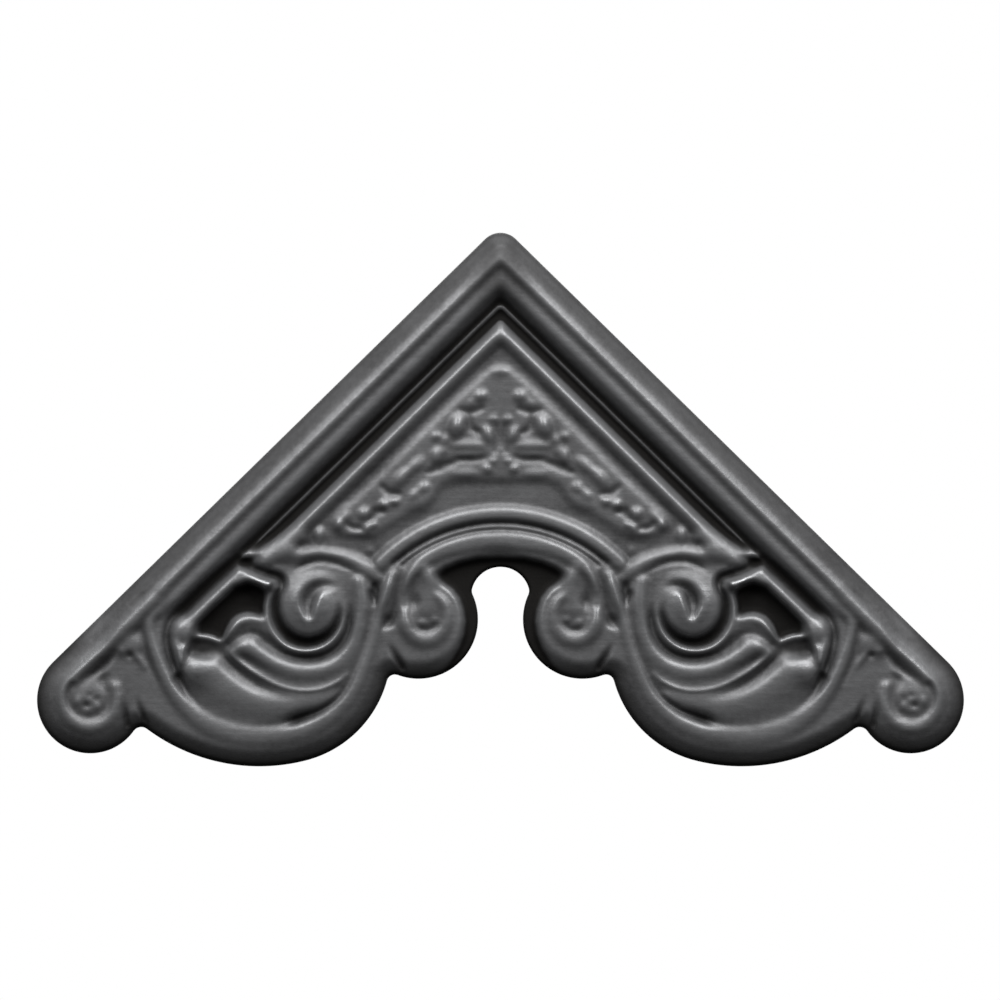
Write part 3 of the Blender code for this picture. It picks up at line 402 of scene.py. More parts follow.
# %% Follow a route
def smooth_route(stops, steps=8):
    """A Catmull-Rom curve through rows of x, z and any further values."""
    stops = np.array(stops, dtype=float)
    padded = np.vstack([2 * stops[0] - stops[1], stops, 2 * stops[-1] - stops[-2]])
    rows = []
    for before, start, end, after in zip(padded, padded[1:], padded[2:], padded[3:]):
        for t in np.arange(steps) / steps:
            rows.append(0.5 * (2 * start + (end - before) * t
                               + (2 * before - 5 * start + 4 * end - after) * t**2
                               + (3 * start - before - 3 * end + after) * t**3))
    return np.vstack(rows + [stops[-1]])


def follow(route, spots, reach):
    """For each spot near a route: its distance from it, and the route's values beside it.

    The spots are put in the order of their x, so that each stretch of the route looks only at
    the ones that it can reach.
    """
    route = np.asarray(route, dtype=float)
    order = np.argsort(spots[:, 0], kind="stable")
    spots = spots[order]
    distance = np.full(len(spots), np.inf)
    values = np.zeros((len(spots), route.shape[1] - 2))
    for start, end in zip(route[:-1], route[1:]):
        low, high = min(start[0], end[0]) - reach, max(start[0], end[0]) + reach
        first, last = np.searchsorted(spots[:, 0], (low, high))
        way = end - start
        gap = spots[first:last] - start[:2]
        part = np.clip(gap @ way[:2] / max(way[:2] @ way[:2], 1e-12), 0, 1)
        away = np.hypot(*(gap - part[:, None] * way[:2]).T)
        closer = away < np.minimum(distance[first:last], reach)
        distance[first:last][closer] = away[closer]
        values[first:last][closer] = start[2:] + part[closer, None] * way[2:]
    near = np.flatnonzero(distance < reach)
    return order[near], distance[near], values[near].T


print("a route of 3 stops has", len(smooth_route([(0, 0), (1, 1), (2, 0)])), "points")

# %% [markdown]
# Ridge, groove and line
#
# With the distance to a route known, a ridge is its crest height less a drop that grows with the
# distance. A high power makes it flat on top and steep at its sides, a low one makes it pointed. A
# groove is the same upside down, and a line just adds a thin bell to what is there.

# %% Ridge, groove and line
RIDGE_REACH = 16.0
GROOVE_REACH = 9.0
LINE_WIDTH = 0.7


def ridge(stops, blend=1.2, drop=4.0, power=2.2):
    """Raise a rounded ridge. Each stop is x, z, half width and crest height."""
    near, distance, (width, crest) = follow(smooth_route(stops), spots, RIDGE_REACH)
    raised = crest - drop * (distance / width) ** power
    height[near] = smooth_max(height[near], raised, blend)


def groove(stops, blend=0.8, rise=4.0, power=2.0):
    """Sink a rounded groove. Each stop is x, z, half width and floor height."""
    near, distance, (width, floor_height) = follow(smooth_route(stops), spots, GROOVE_REACH)
    sunk = floor_height + rise * (distance / width) ** power
    height[near] = smooth_min(height[near], sunk, blend)


def line(stops):
    """Add a thin line. Each stop is x, z and how much the line stands up, or sinks if below 0."""
    near, distance, (lift,) = follow(smooth_route(stops), spots, 4 * LINE_WIDTH)
    height[near] += lift * np.exp(-(distance / LINE_WIDTH) ** 2)


def round_route(centre, radius, first, last, half_width, level, count=12):
    """Stops along an arc, between two angles in degrees."""
    angles = np.radians(np.linspace(first, last, count))
    return [(centre[0] + radius * np.cos(angle), centre[1] + radius * np.sin(angle),
             half_width, level) for angle in angles]


print("the tools for long forms are ready")

# %% [markdown]
# Dome and bead
#
# Round forms need no route. An oval's distance from its middle is all that a dome or a bead asks
# for. The dome blends into what is round it, and the bead is laid on top.

# %% Dome and bead
DOME_POWER = 2.4
BEAD_POWER = 1.4


def oval(centre, radii, turn):
    """How far each spot lies from the middle of a turned oval; 1 is on its edge."""
    cosine, sine = np.cos(np.radians(turn)), np.sin(np.radians(turn))
    gap = spots - np.array(centre)
    return np.hypot((gap[:, 0] * cosine + gap[:, 1] * sine) / radii[0],
                    (-gap[:, 0] * sine + gap[:, 1] * cosine) / radii[1])


def dome(centre, radii, crest, rise, turn=0.0, blend=1.0):
    """Raise an oval dome that has fallen by its rise at its radii, and falls on from there."""
    raised = crest - rise * oval(centre, radii, turn) ** DOME_POWER
    height[:] = smooth_max(height, raised, blend)


def bead(centre, radii, rise, turn=0.0):
    """Add a small oval bead on whatever lies under it."""
    height[:] += rise * np.clip(1 - oval(centre, radii, turn) ** 2, 0, 1) ** BEAD_POWER


print("halfway out, a bead still has", round(0.75 ** BEAD_POWER, 2), "of its rise")

# %% [markdown]
# Fields
#
# A field is a polygon that is brought to a level as a whole, such as a pocket's floor. Its share
# is 1 well inside and 0 well outside, with a soft step between, so that the sheet slopes from one
# level to the other instead of being cut.

# %% Field
def inside(spots, corners):
    """Which spots lie in a polygon."""
    found = np.zeros(len(spots), dtype=bool)
    corners = np.asarray(corners)
    for (x1, z1), (x2, z2) in zip(corners, np.roll(corners, -1, axis=0)):
        crosses = (z1 > spots[:, 1]) != (z2 > spots[:, 1])
        if z1 != z2:
            found ^= crosses & (spots[:, 0] < x1 + (spots[:, 1] - z1) * (x2 - x1) / (z2 - z1))
    return found


def area_share(corners, soft):
    """1 well inside a polygon, 0 well outside it, and a soft step at its edge."""
    corners = np.asarray(corners, dtype=float)
    near, distance, _ = follow(np.vstack([corners, corners[:1]]), spots, 3 * soft)
    signed = np.full(len(spots), 3 * soft)
    signed[near] = distance
    signed[~inside(spots, corners)] *= -1
    return smooth_step(-soft, soft, signed)


def press_field(corners, level, soft):
    """Bring a polygon to a level, which is a number or a height for every spot."""
    height[:] += (level - height) * area_share(corners, soft)


print("the tools for fields are ready")

# %% [markdown]
# The leg's rails
#
# Each leg carries a run of mouldings: an outer bead, a flat band, and a deep groove with a thin
# ledge in it that sets off the panel. They are straight and even, so one cross-section is enough.
# It is looked up by the distance in from the outer edge, which also gives the mitre at the
# apex for nothing.

# %% Press the rails
BEAD_CREST = 10.6
BAND_CREST = 9.5
GROOVE_FLOOR = 2.4
BAND_LINE = 16.8
MITRE_ROUNDING = 1.0
RAIL_END = (225.0, 213.0)
RAIL_SIDE = (33.0, 29.0)

leg_run = (spots - np.array([0.0, CORNER_TOP])) @ LEG_ALONG
rounded_x = np.sqrt(spots[:, 0]**2 + MITRE_ROUNDING**2) - 0.5 * MITRE_ROUNDING
leg_distance = rounded_x * LEG_INWARD[0] + (spots[:, 1] - CORNER_TOP) * LEG_INWARD[1]


def leg_spot(along, inward):
    """The spot at a distance along the leg from its sharp corner, and a distance in."""
    return tuple(LEG_ALONG * along + LEG_INWARD * inward + np.array([0.0, CORNER_TOP]))


# The cross-section as pairs of distance in and height: bead, step, band, ledge, groove, wall
SECTION = ((0, 8.5), (7.2, 8.9), (8.8, 9.6), (10.5, 10.6), (11.6, BEAD_CREST + 0.1), (12.6, 10.0),
           (13.6, 9.2), (14.4, 9.1), (BAND_LINE, BAND_CREST), (18.6, 9.4), (20.0, 8.4),
           (23.4, 3.4), (24.3, 2.9), (25.4, 4.4), (26.5, 2.2), (27.2, GROOVE_FLOOR - 0.4),
           (28.4, GROOVE_FLOOR - 0.4), (29.2, 3.0), (31.4, GROUND), (400.0, GROUND))
section = np.interp(leg_distance, *zip(*SECTION))
on_the_rail = smooth_step(*RAIL_END, leg_run)
height += (section - height) * on_the_rail * smooth_step(*RAIL_SIDE, leg_distance)
groove([(112, -139.6, 2.6, 3.2), (120, -146.4, 2.8, 3.0), (128, -153.4, 2.8, 3.2),
        (135.6, -160.8, 2.9, 3.3), (141, -166.6, 2.8, 3.8), (143.6, -173.4, 2.3, 4.8),
        (143, -180, 2.0, 5.0), (141, -186.4, 2.0, 4.6), (138.4, -191.4, 1.8, 4.0)], rise=4.2)
print("the groove is", round(BEAD_CREST - height.min(), 1), "mm deep below the bead's crest")

# %% [markdown]
# The panel and its frame
#
# Inside the rails lies a sunk panel. A narrow border runs down both sides of it, a ledge closes
# it below, and where the two meet they swell into a pointed block. The panel's ground is a
# field, the border follows the leg, and the ledge is a ridge. The block leans back a little, which
# is why it catches the light.

# %% Press the panel
PANEL_GROUND = 6.2
BORDER_LINE = 33.8
BORDER_CREST = 9.2
BORDER_DROP = 4.0
BORDER_HALF_WIDTH = 3.4
BORDER_POWER = 2.4
BORDER_END = (182.0, 194.0)
BORDER_FALL = 8.0
PANEL_SIDE = (31.5, 34.5)
BLOCK_HEIGHT = 8.9
BLOCK_LEAN = 0.28
ARCH_CENTRE = (0.0, -194.2)
ARCH_UPPER_RADIUS = 72.8

arch_edge = [(x, z) for x, z, _, _ in round_route(ARCH_CENTRE, ARCH_UPPER_RADIUS, 46, 90, 0, 0)]
panel_top = leg_spot(0, BORDER_LINE)[1] - 8
panel_edge = [(-9.0, panel_top), (0.0, panel_top), leg_spot(186, BORDER_LINE), (96.0, -136.4),
              (88.0, -138.0), (78.0, -138.0), (68.0, -139.6), (60.0, -142.2), (55.0, -145.0)]
panel_edge += arch_edge + [(-9.0, -121.0)]
panel = area_share(panel_edge, 1.6) * smooth_step(*PANEL_SIDE, leg_distance)
height += (PANEL_GROUND - height) * panel

from_border = np.abs(leg_distance - BORDER_LINE) / BORDER_HALF_WIDTH
border = BORDER_CREST - BORDER_DROP * from_border ** BORDER_POWER
border = border - BORDER_FALL * smooth_step(*BORDER_END, leg_run)
height[:] = smooth_max(height, border, 1.0)
ridge([(100, -139, 3.4, 8.8), (90, -139.4, 3.4, 8.8), (80, -139, 3.4, 8.8), (70, -140, 3.4, 8.8),
       (62, -142.4, 3.6, 8.8), (56, -146, 4.0, 8.8), (52.5, -149, 3.0, 8.4)], blend=1.8, power=3.0)
press_field([(83.5, -123.6), (92, -128.4), (98, -132.4), (104.5, -136.2), (112.4, -139.4),
             (112, -140.4), (104, -140.4), (96, -139.6), (89, -138), (86.5, -132)],
            BLOCK_HEIGHT + BLOCK_LEAN * (leg_distance - BORDER_LINE), 2.2)
print("the panel covers", round(panel.sum() * MAP_STEP**2 / 100), "square centimetres of the half")

# %% [markdown]
# The flower spray
#
# A spray of flowers and leaves fills the panel. In the photograph it is soft and worn, so it is
# built the way it was cut: first a low plate with the spray's outline, then hollows between
# the leaves, then petals, buds and berries as small oval beads.

# %% Press the flower spray
PLATE_RISE = 1.3
plate_edge = [(-9, -57.5), (0, -57.5), (6, -60.5), (16, -69.5), (28, -81), (40, -93), (52, -105),
              (62, -114.5), (69, -120), (71.8, -125.5), (69.5, -129.6), (62, -131.2), (54, -130.4),
              (47, -126), (39, -121.6), (32, -119), (28.5, -114), (24, -108.5), (14, -107), (-9, -107)]
height += PLATE_RISE * area_share(smooth_route(plate_edge)[:, :2], 2.2)

LEAF_HOLLOWS = (
    ((20, -99, 1.8), (26, -101.4, 2.6), (31, -103.6, 1.6)),
    ((43.4, -112.8, 1.4), (47.6, -112.4, 2.2), (51, -109.6, 1.4)),
    ((50.6, -120.2, 1.6), (53.8, -120.8, 2.4), (56, -124, 1.4)),
    ((60, -127.6, 1.0), (63.6, -127.4, 1.6), (66, -125.6, 1.0)),
    ((8, -76, 1.4), (13, -77.6, 1.8), (17, -76.6, 1.2)),
    ((9.5, -86.5, 1.6), (12.6, -84, 2.0), (13.2, -79.6, 1.4)),
    ((1.6, -83, 1.0), (1.4, -90, 1.6), (2.2, -94.6, 1.4)),
    ((18.5, -98, 1.4), (10, -98, 1.4), (6.5, -96.8, 1.0)),
)
# Rows of x, z, half width, half height, rise and turn in degrees
FLOWER_BEADS = (
    (0, -60, 6, 2.2, 0.7, 0), (8.4, -70.6, 3.7, 3.2, 1.5, -20), (12.6, -73.6, 2.8, 2.0, 0.7, -30),
    (18.6, -83.4, 4.2, 6.4, 2.5, 12), (5.6, -87, 2.7, 4.8, 1.5, -20),
    (3.2, -80.6, 2.5, 2.2, 1.0, 0), (13.6, -92, 9.0, 3.2, 1.3, 0), (14, -95.7, 7.4, 1.3, 1.0, -2),
    (24, -89.6, 2.1, 3.2, 1.2, 10), (27.6, -88, 2.7, 2.2, 1.2, -30),
    (27.4, -96.2, 2.9, 4.6, 1.5, 10), (24.4, -94, 2.0, 3.4, 0.9, 0),
    (3.4, -98.8, 1.9, 1.9, 1.2, 0), (5.6, -102, 2.6, 2.5, 1.5, 20),
    (15.5, -104, 7.8, 2.7, 0.8, 0), (36.4, -100.6, 6.6, 3.2, 1.3, -44),
    (42.6, -105.8, 6.0, 3.4, 1.6, -52), (32.8, -109.8, 3.2, 3.2, 1.3, 0),
    (36.8, -112.6, 4.4, 2.3, 1.1, -36), (35, -115.6, 8.0, 4.2, 0.9, -24),
    (45.6, -116, 2.5, 2.4, 1.7, 0), (50, -117.4, 2.6, 2.9, 1.8, 10),
    (58.6, -121.2, 3.6, 3.4, 1.6, -20), (55, -126, 2.4, 2.0, 1.4, 0),
    (57.2, -127.6, 2.5, 2.3, 1.5, 0), (66.6, -122.8, 4.5, 2.0, 0.9, -44),
    (69.8, -126, 2.6, 3.1, 1.6, 0), (60, -130, 7.2, 1.8, 0.6, 6), (56, -137, 1.8, 1.8, 0.6, 0),
    (78, -130.2, 3.0, 4.4, 1.9, 0), (78, -135, 2.0, 3.2, 0.9, 0), (84.8, -131.4, 2.7, 3.6, 1.7, 30),
)
for stops in LEAF_HOLLOWS:
    groove([(x, z, width, PANEL_GROUND + 0.1) for x, z, width in stops], rise=1.8)
for x, z, across, up, rise, turn in FLOWER_BEADS:
    bead((x, z), (across, up), rise, turn)
print("the spray has", 2 * len(FLOWER_BEADS), "petals, buds and berries on its two sides")

# %% [markdown]
# The arch over the notch
#
# Two broad flat bands bend over the notch like the moulding over a doorway, and two thin grooves
# part them. The lower band turns in at its end, to become the small volute. Below it the sheet
# drops to a low web round the notch, which is almost black in the photograph.

# %% Press the arch
ARCH_LINE_RADIUS = 69.0
ARCH_LINE_GAP = 3.0
NOTCH_WEB = 2.8
ridge(round_route(ARCH_CENTRE, ARCH_UPPER_RADIUS, 45, 90, 4.3, 8.8), power=4.0)
ridge([(0, -133.0, 5.6, 8.9), (10, -133.5, 5.6, 8.9), (20, -135.3, 5.4, 8.9),
       (28, -138.4, 4.8, 8.9), (34, -142.2, 4.0, 9.1), (38, -146.6, 3.0, 9.4),
       (40.2, -150.8, 2.2, 9.2), (41.4, -155, 1.5, 8.2)], power=3.6)
groove(round_route(ARCH_CENTRE, ARCH_LINE_RADIUS, 48, 90, 1.2, 5.8), rise=2.6)
groove(round_route(ARCH_CENTRE, ARCH_LINE_RADIUS - ARCH_LINE_GAP, 50, 90, 1.0, 6.4), rise=2.6)
press_field([(-9, -140.2), (0, -140.2), (10, -140.8), (18, -142.6), (24, -145.2), (27.6, -148),
             (25, -150.6), (20.4, -154), (17.4, -158), (15.8, -163), (15.2, -168), (16, -173.6),
             (18.2, -179.4), (21.8, -185.2), (26.6, -190.8), (18, -193), (4, -180), (4, -160),
             (-9, -146)], NOTCH_WEB, 1.6)
print("the arch spans", round(2 * ARCH_UPPER_RADIUS * np.cos(np.radians(45))), "mm")

# %% [markdown]
# The leaf lobes of the scroll
#
# Under the large volute the leaf sweeps round in long lobes, like the folds of a cabbage leaf.
# Each lobe is a broad ridge that starts narrow, swells and ends in a rounded tip. The folds
# between them are grooves, and the upper fold has a thin turned-up lip.

# %% Press the leaf lobes
ridge([(73, -200.6, 4.4, 8.3), (83, -202.4, 5.4, 8.5), (95, -203.4, 7.0, 8.6),
       (107, -201.0, 8.2, 8.6), (117.5, -196.4, 8.2, 8.9), (125, -192, 7.0, 9.4),
       (131, -189.4, 4.8, 9.6)], blend=2.6, drop=1.8)
dome((129.4, -188.4), (7.4, 5.8), 10.3, 2.2, turn=-10, blend=2.6)
ridge([(60.6, -150.6, 3.2, 9.2), (59.8, -157, 3.5, 9.5), (59.8, -164.4, 3.8, 9.4),
       (61.4, -172.4, 4.4, 9.3), (65.0, -180.0, 5.0, 9.1), (70.8, -186.0, 5.6, 8.9),
       (79, -189, 6.0, 8.8), (88, -189, 6.2, 8.9), (96.5, -186, 6.2, 9.2),
       (104, -181.6, 6.2, 9.7), (109.8, -178.6, 4.8, 10.2), (115.4, -180.2, 2.4, 9.2)],
      blend=2.2, drop=2.0)
groove([(66, -187.6, 1.4, 8.2), (71, -191.0, 2.0, 8.0), (79, -193.4, 2.4, 8.0),
        (88, -193.4, 2.4, 7.9), (97, -191.0, 2.2, 7.6), (105, -187.2, 1.9, 6.8),
        (111, -183.5, 1.5, 6.4), (114.6, -181.8, 1.0, 7.0)], rise=1.6)
groove([(90, -200, 1.4, 8.0), (97, -198.4, 2.0, 7.0), (104, -195.2, 2.8, 5.8),
        (111.4, -190, 3.0, 5.2), (117, -184.8, 2.8, 4.8), (120, -181, 2.4, 4.6)], rise=2.6)
ridge([(66, -190.2, 1.4, 8.6), (70.2, -193.8, 1.6, 9.0), (77.6, -196.8, 1.6, 8.9),
       (85.6, -197.4, 1.6, 8.8), (94.4, -195.7, 1.5, 8.8), (103, -191.6, 1.5, 8.9),
       (110.2, -186.8, 1.5, 9.0), (115.2, -182.4, 1.5, 9.4), (116.6, -180.4, 1.3, 9.2)],
      blend=0.8, drop=1.8)
print("the leaf's highest spot is", round(height.max(), 1), "mm")

# %% [markdown]
# The pocket beside the volute
#
# The darkest place of the ornament is a pocket between the volute and the leg. A flat frame
# bends round it, and the tip of a leaf reaches into it. It is sunk as a field first, and the
# frame is raised as another with a crisp edge, because on the real piece it is a flat strip.

# %% Press the pocket
POCKET_FLOOR = 2.3
FRAME_HEIGHT = 9.0
FRAME_LINE = 28.6
FRAME_LEAN = 0.2
press_field([(101.6, -154.4), (105.5, -152.4), (109.2, -151.2), (114.4, -153.0), (119, -157.4),
             (124, -162.0), (128.4, -166.0), (132, -170.6), (132.8, -173.6), (126, -174.2),
             (120.4, -176.0), (118.4, -173.4), (116.6, -169.6), (113.4, -165.6),
             (109.6, -163.8), (101.8, -165.4)], POCKET_FLOOR, 1.6)
press_field([(119.4, -177.6), (126, -175.4), (132.6, -174.8), (134.6, -181), (130, -182.6),
             (124, -182.8), (120.4, -181)], 4.6, 1.6)
ridge([(103, -167.6, 2.8, 8.0), (108, -166.9, 3.0, 8.6), (112.4, -168.2, 2.9, 9.5),
       (115.8, -172, 2.4, 9.7), (118.6, -176.4, 1.6, 8.8)], blend=1.4, drop=3.2)
ridge([(119.4, -177, 1.3, 6.8), (125.6, -174.6, 1.4, 7.0), (132.4, -174, 1.5, 7.6)],
      blend=0.8, drop=2.4)
press_field([(97.4, -150.2), (105, -147.4), (112.8, -143.6), (123, -153.2), (133, -162.8),
             (138.6, -167.6), (141.6, -171.8), (141.4, -178), (139.6, -184), (137.8, -188.4),
             (136, -185.4), (134.8, -180), (134, -176), (131.8, -171.6), (130.4, -168.6), (124, -161.8),
             (114.6, -152.8), (109, -150.8), (105, -151.8), (101.2, -154.2), (98.6, -153.4)],
            FRAME_HEIGHT + FRAME_LEAN * (leg_distance - FRAME_LINE), 1.3)
dome((136.6, -171.4), (4.6, 4.2), 10.0, 1.8, turn=-40, blend=1.6)
bead((136.6, -176.8), (1.6, 1.9), -1.4)
print("the pocket's floor is", round(height.min(), 1), "mm from the wall")

# %% [markdown]
# The ribbon
#
# One long ribbon ties the scroll together. It comes down off the arch, rounds the leaves below,
# climbs up the far side and runs out into the band of the leg. Because it is a single ridge
# along a single route, it stays smooth all the way. A crease beside it sets it off from the
# leaves.

# %% Press the ribbon
ridge([(46.6, -147.4, 2.4, 9.0), (47.8, -151.4, 2.9, 9.9), (49.2, -156, 2.9, 10.0),
       (50.8, -160.6, 2.6, 9.7), (52.2, -165, 2.4, 8.9), (53.4, -170, 2.9, 8.7),
       (55.2, -177, 3.2, 8.7), (57.8, -185, 3.6, 8.8), (61, -193, 4.2, 8.8),
       (66, -201, 4.8, 8.8), (73.5, -208.6, 5.2, 8.8), (84, -214.2, 5.6, 8.7),
       (97, -217.0, 6.2, 8.6), (110, -216.8, 6.4, 8.5), (123, -213.4, 6.0, 8.6),
       (133, -207, 5.2, 8.7), (139.6, -199.4, 4.4, 9.0), (144.6, -191, 3.9, 9.3),
       (148.4, -181.6, 3.6, 9.5), (150.8, -172.8, 3.4, 9.5), (150.6, -166.6, 3.3, 9.5),
       leg_spot(221, 15.9) + (3.3, 9.3), leg_spot(213, 16.6) + (3.3, 8.4),
       leg_spot(206, BAND_LINE) + (3.3, 7.6)], blend=1.8, drop=3.4, power=2.6)
groove([(56.6, -164, 1.0, 7.4), (57.4, -172, 1.1, 7.2), (59.6, -179.6, 1.2, 7.1),
        (62.8, -187.4, 1.2, 6.9), (65.6, -194.6, 1.3, 6.7), (70.4, -201, 1.4, 6.4),
        (77.6, -206, 1.6, 5.4), (84.4, -208.6, 1.8, 4.2), (88.6, -210, 1.8, 4.0),
        (94, -211.4, 2.4, 6.8), (104, -212, 3.2, 7.8), (116, -210, 3.2, 7.8),
        (127, -205, 2.8, 7.4), (134.4, -198.4, 2.2, 6.0), (138.6, -191.8, 2.0, 3.8)], rise=2.8)
print("the ribbon is pressed")

# %% [markdown]
# The small volute
#
# Beside the notch the lower band curls up like the head of a violin. One turn of a ridge winds
# round a low eye. Under the eye lies a crescent, and beside it a hollow where the curl opens.

# %% Press the small volute
groove([(27, -154.2, 1.1, 7.8), (22.8, -157.6, 1.2, 7.5), (20.6, -162.4, 1.2, 7.4),
        (20, -168, 1.2, 7.6), (21, -173.6, 1.1, 8.0)], rise=1.8)
ridge([(32.6, -144.4, 3.2, 8.8), (31.2, -148.2, 3.2, 9.3), (30.4, -152.8, 3.8, 8.8),
       (30.4, -157.6, 4.4, 8.6), (30.8, -162, 5.0, 8.5)], blend=2.0, drop=2.0)
ridge([(27.6, -156.4, 2.0, 8.7), (24.4, -159.8, 2.6, 8.9), (23.0, -164.8, 3.0, 8.8),
       (24.0, -170.4, 3.4, 8.7), (28.4, -175.0, 3.6, 8.7), (34, -175.6, 3.8, 8.7),
       (39, -172.4, 3.6, 9.3), (41.0, -167.8, 3.2, 9.7), (41.4, -163.4, 2.2, 9.0)],
      blend=1.8, drop=2.2)
groove([(36.2, -151.0, 2.0, 7.4), (37.4, -155.4, 3.2, 6.6), (37.2, -159.4, 3.2, 6.0),
        (37.4, -162.4, 2.0, 7.0)], rise=2.4)
groove([(26.2, -165.0, 1.0, 7.9), (27.4, -168.8, 1.3, 7.0), (30.4, -171.0, 1.4, 6.5),
        (34, -171.2, 1.4, 6.6), (36.8, -169.0, 1.1, 7.4)], rise=2.4)
bead((28.5, -167.0), (2.3, 1.8), 1.0)
bead((33.4, -168.1), (2.8, 1.8), 0.9)
groove([(42.6, -146.4, 1.2, 7.4), (43.8, -152, 1.6, 6.6), (44.6, -158, 1.9, 6.4),
        (46, -164, 2.4, 5.8), (48.2, -167.8, 2.8, 4.8), (50.2, -170.2, 1.8, 6.4)], rise=3.2)
groove([(48, -177.4, 1.2, 7.2), (45.6, -182, 1.8, 5.4), (42.2, -188.4, 2.4, 3.4)])
print("the small volute is pressed")

# %% [markdown]
# The large volute
#
# The leaf rolls up into a large ball. A hook-shaped hollow on it shows how it is rolled, and a
# deep groove sets it off from the lobes. A thin ring lies in the groove like a wire, and runs
# out at the right into the frame of the pocket.

# %% Press the large volute
BALL_CENTRE = (82.0, -160.6)
RING_CENTRE = (84.0, -163.8)
RING_RADIUS = 16.7
dome(BALL_CENTRE, (14.6, 15.2), 11.0, 3.8, blend=2.4)
groove([(65, -158.6, 1.0, 8.0), (64.8, -165.6, 1.7, 5.8), (66.6, -173.4, 2.0, 5.0),
        (71.2, -179.6, 2.1, 4.6), (78.4, -183.2, 2.2, 4.4), (86.6, -183.4, 2.4, 4.6),
        (94, -181, 3.0, 5.4), (100, -176.4, 3.8, 6.0), (105, -172.8, 3.4, 6.6),
        (110.4, -173.2, 2.4, 6.8), (115, -176, 1.8, 6.2), (118, -178.4, 1.8, 4.6)], rise=3.0)
groove([(69, -160.4, 0.9, 8.0), (69.6, -166, 1.6, 5.6), (71.8, -171.4, 2.3, 3.8),
        (76.4, -175.4, 2.7, 3.2), (82.6, -177.2, 2.9, 3.0), (89, -175.6, 2.9, 3.0),
        (94, -171, 2.6, 3.2), (96.8, -164.6, 2.4, 3.4), (96.8, -157.4, 2.2, 3.6),
        (94.4, -151.8, 2.0, 3.8), (95, -148.8, 2.0, 3.8), (100, -147.0, 2.1, 3.6),
        (106.4, -144.6, 2.2, 3.4), (112.6, -140.6, 2.6, 3.0)], rise=4.0)
ridge(round_route(RING_CENTRE, RING_RADIUS, 170, 402, 1.5, 8.6, 20), blend=0.6, drop=2.6)
groove([(60.6, -147.4, 0.9, 7.6), (66, -144.2, 1.3, 5.8), (72, -142.0, 1.5, 5.2),
        (79, -141.4, 1.5, 5.2), (84.6, -143.0, 1.5, 5.4), (88.2, -145.6, 1.0, 7.0)], rise=3.0)
groove([(63.6, -148.2, 1.1, 7.6), (72, -145.6, 1.3, 7.2), (80, -145.2, 1.2, 7.2),
        (86, -147, 0.9, 8.0)], rise=2.4)
groove([(65.8, -155.0, 1.8, 8.9), (71.0, -152.3, 2.6, 8.1), (76.6, -152.0, 3.0, 7.5),
        (80.8, -154.6, 3.2, 7.2), (82.8, -159.4, 3.1, 7.2), (82.4, -165.2, 2.1, 8.8)], rise=2.4)
groove([(54.2, -152.4, 2.2, 5.0), (54.4, -156, 2.2, 3.8), (54, -160, 1.4, 5.8)], rise=4.6)
line([(55.4, -153.2, 2.6), (53.8, -156.4, 2.2)])
print("the ball of the large volute is", round(height.max(), 1), "mm high")

# %% [markdown]
# The outer bead
#
# The outer bead rolls along the whole leg and curls round at the bottom into the foot. It is the
# highest long form, so it comes last but one, over all that it crosses, and a groove on its
# inner side keeps it apart from the ribbon.

# %% Press the bead
BEAD_LINE = 11.3
groove([leg_spot(216, 13.9) + (1.6, 8.6), leg_spot(223, 13.7) + (2.0, 7.8), (156.5, -168.3, 2.4, 7.2),
        (163, -175.4, 2.8, 6.6), (168.2, -181.8, 3.4, 6.0), (172.2, -187.4, 3.4, 6.0),
        (176.4, -190.8, 2.4, 6.4), (181, -194, 1.8, 7.0), (183.8, -199, 1.4, 7.4)], rise=3.0)
ridge([leg_spot(run, BEAD_LINE) + (4.4, crest) for run, crest in
       ((206, 8.6), (213, 9.6), (219, 10.5), (227, BEAD_CREST), (238, BEAD_CREST))]
      + [(174.6, -181.8, 4.4, 10.4), (181, -188, 4.4, 10.1), (185.8, -194, 4.4, 9.8),
         (188, -201, 4.4, 9.5), (186.4, -208, 4.4, 9.3), (180.6, -212.6, 4.4, 9.2),
         (173, -212.6, 4.4, 9.2), (167.2, -208.4, 4.2, 9.2), (165, -202, 3.8, 9.2),
         (165.6, -195.6, 3.2, 9.0)], blend=1.6, drop=3.0, power=2.2)
print("the bead's crest is", BEAD_CREST, "mm high")

# %% [markdown]
# The foot
#
# Inside the curl lies a low eye with pits and small swellings, like the heart of a flower. A berry
# with a pit fills the corner above it, and two folds mark where the foot leaves the scroll. These
# are small round things, so domes and beads make most of them.

# %% Press the foot
EYE_CENTRE = (177.6, -200.2)
groove(round_route(EYE_CENTRE, 8.3, 150, 400, 1.4, 7.4, 16), rise=1.8)
groove([(169.2, -191, 2.0, 6.8), (171.4, -193.4, 2.2, 6.0), (170.2, -197.4, 1.5, 6.8)], rise=2.4)
dome(EYE_CENTRE, (6.8, 6.8), 8.9, 1.2, blend=1.6)
for x, z, across, up, rise in ((173.6, -201, 1.6, 1.5, -1.1), (176.5, -199.4, 1.7, 1.2, -1.0),
                               (178.2, -203.7, 1.9, 1.5, -1.9), (181.9, -202, 1.6, 2.5, 0.8),
                               (173.4, -204.5, 1.7, 1.4, 0.8), (176.2, -205.6, 1.7, 1.2, 0.6)):
    bead((x, z), (across, up), rise)
dome((159.6, -177.4), (6.4, 5.6), 9.3, 1.6, turn=-15, blend=1.8)
ridge([(157.6, -181.2, 1.8, 8.9), (155, -184.4, 1.8, 8.8), (153.2, -187.8, 1.3, 8.2)],
      blend=1.0, drop=2.6)
bead((163.2, -180.2), (2.8, 1.7), 0.7, turn=20)
bead((159.6, -182.2), (2.1, 1.5), -2.0)
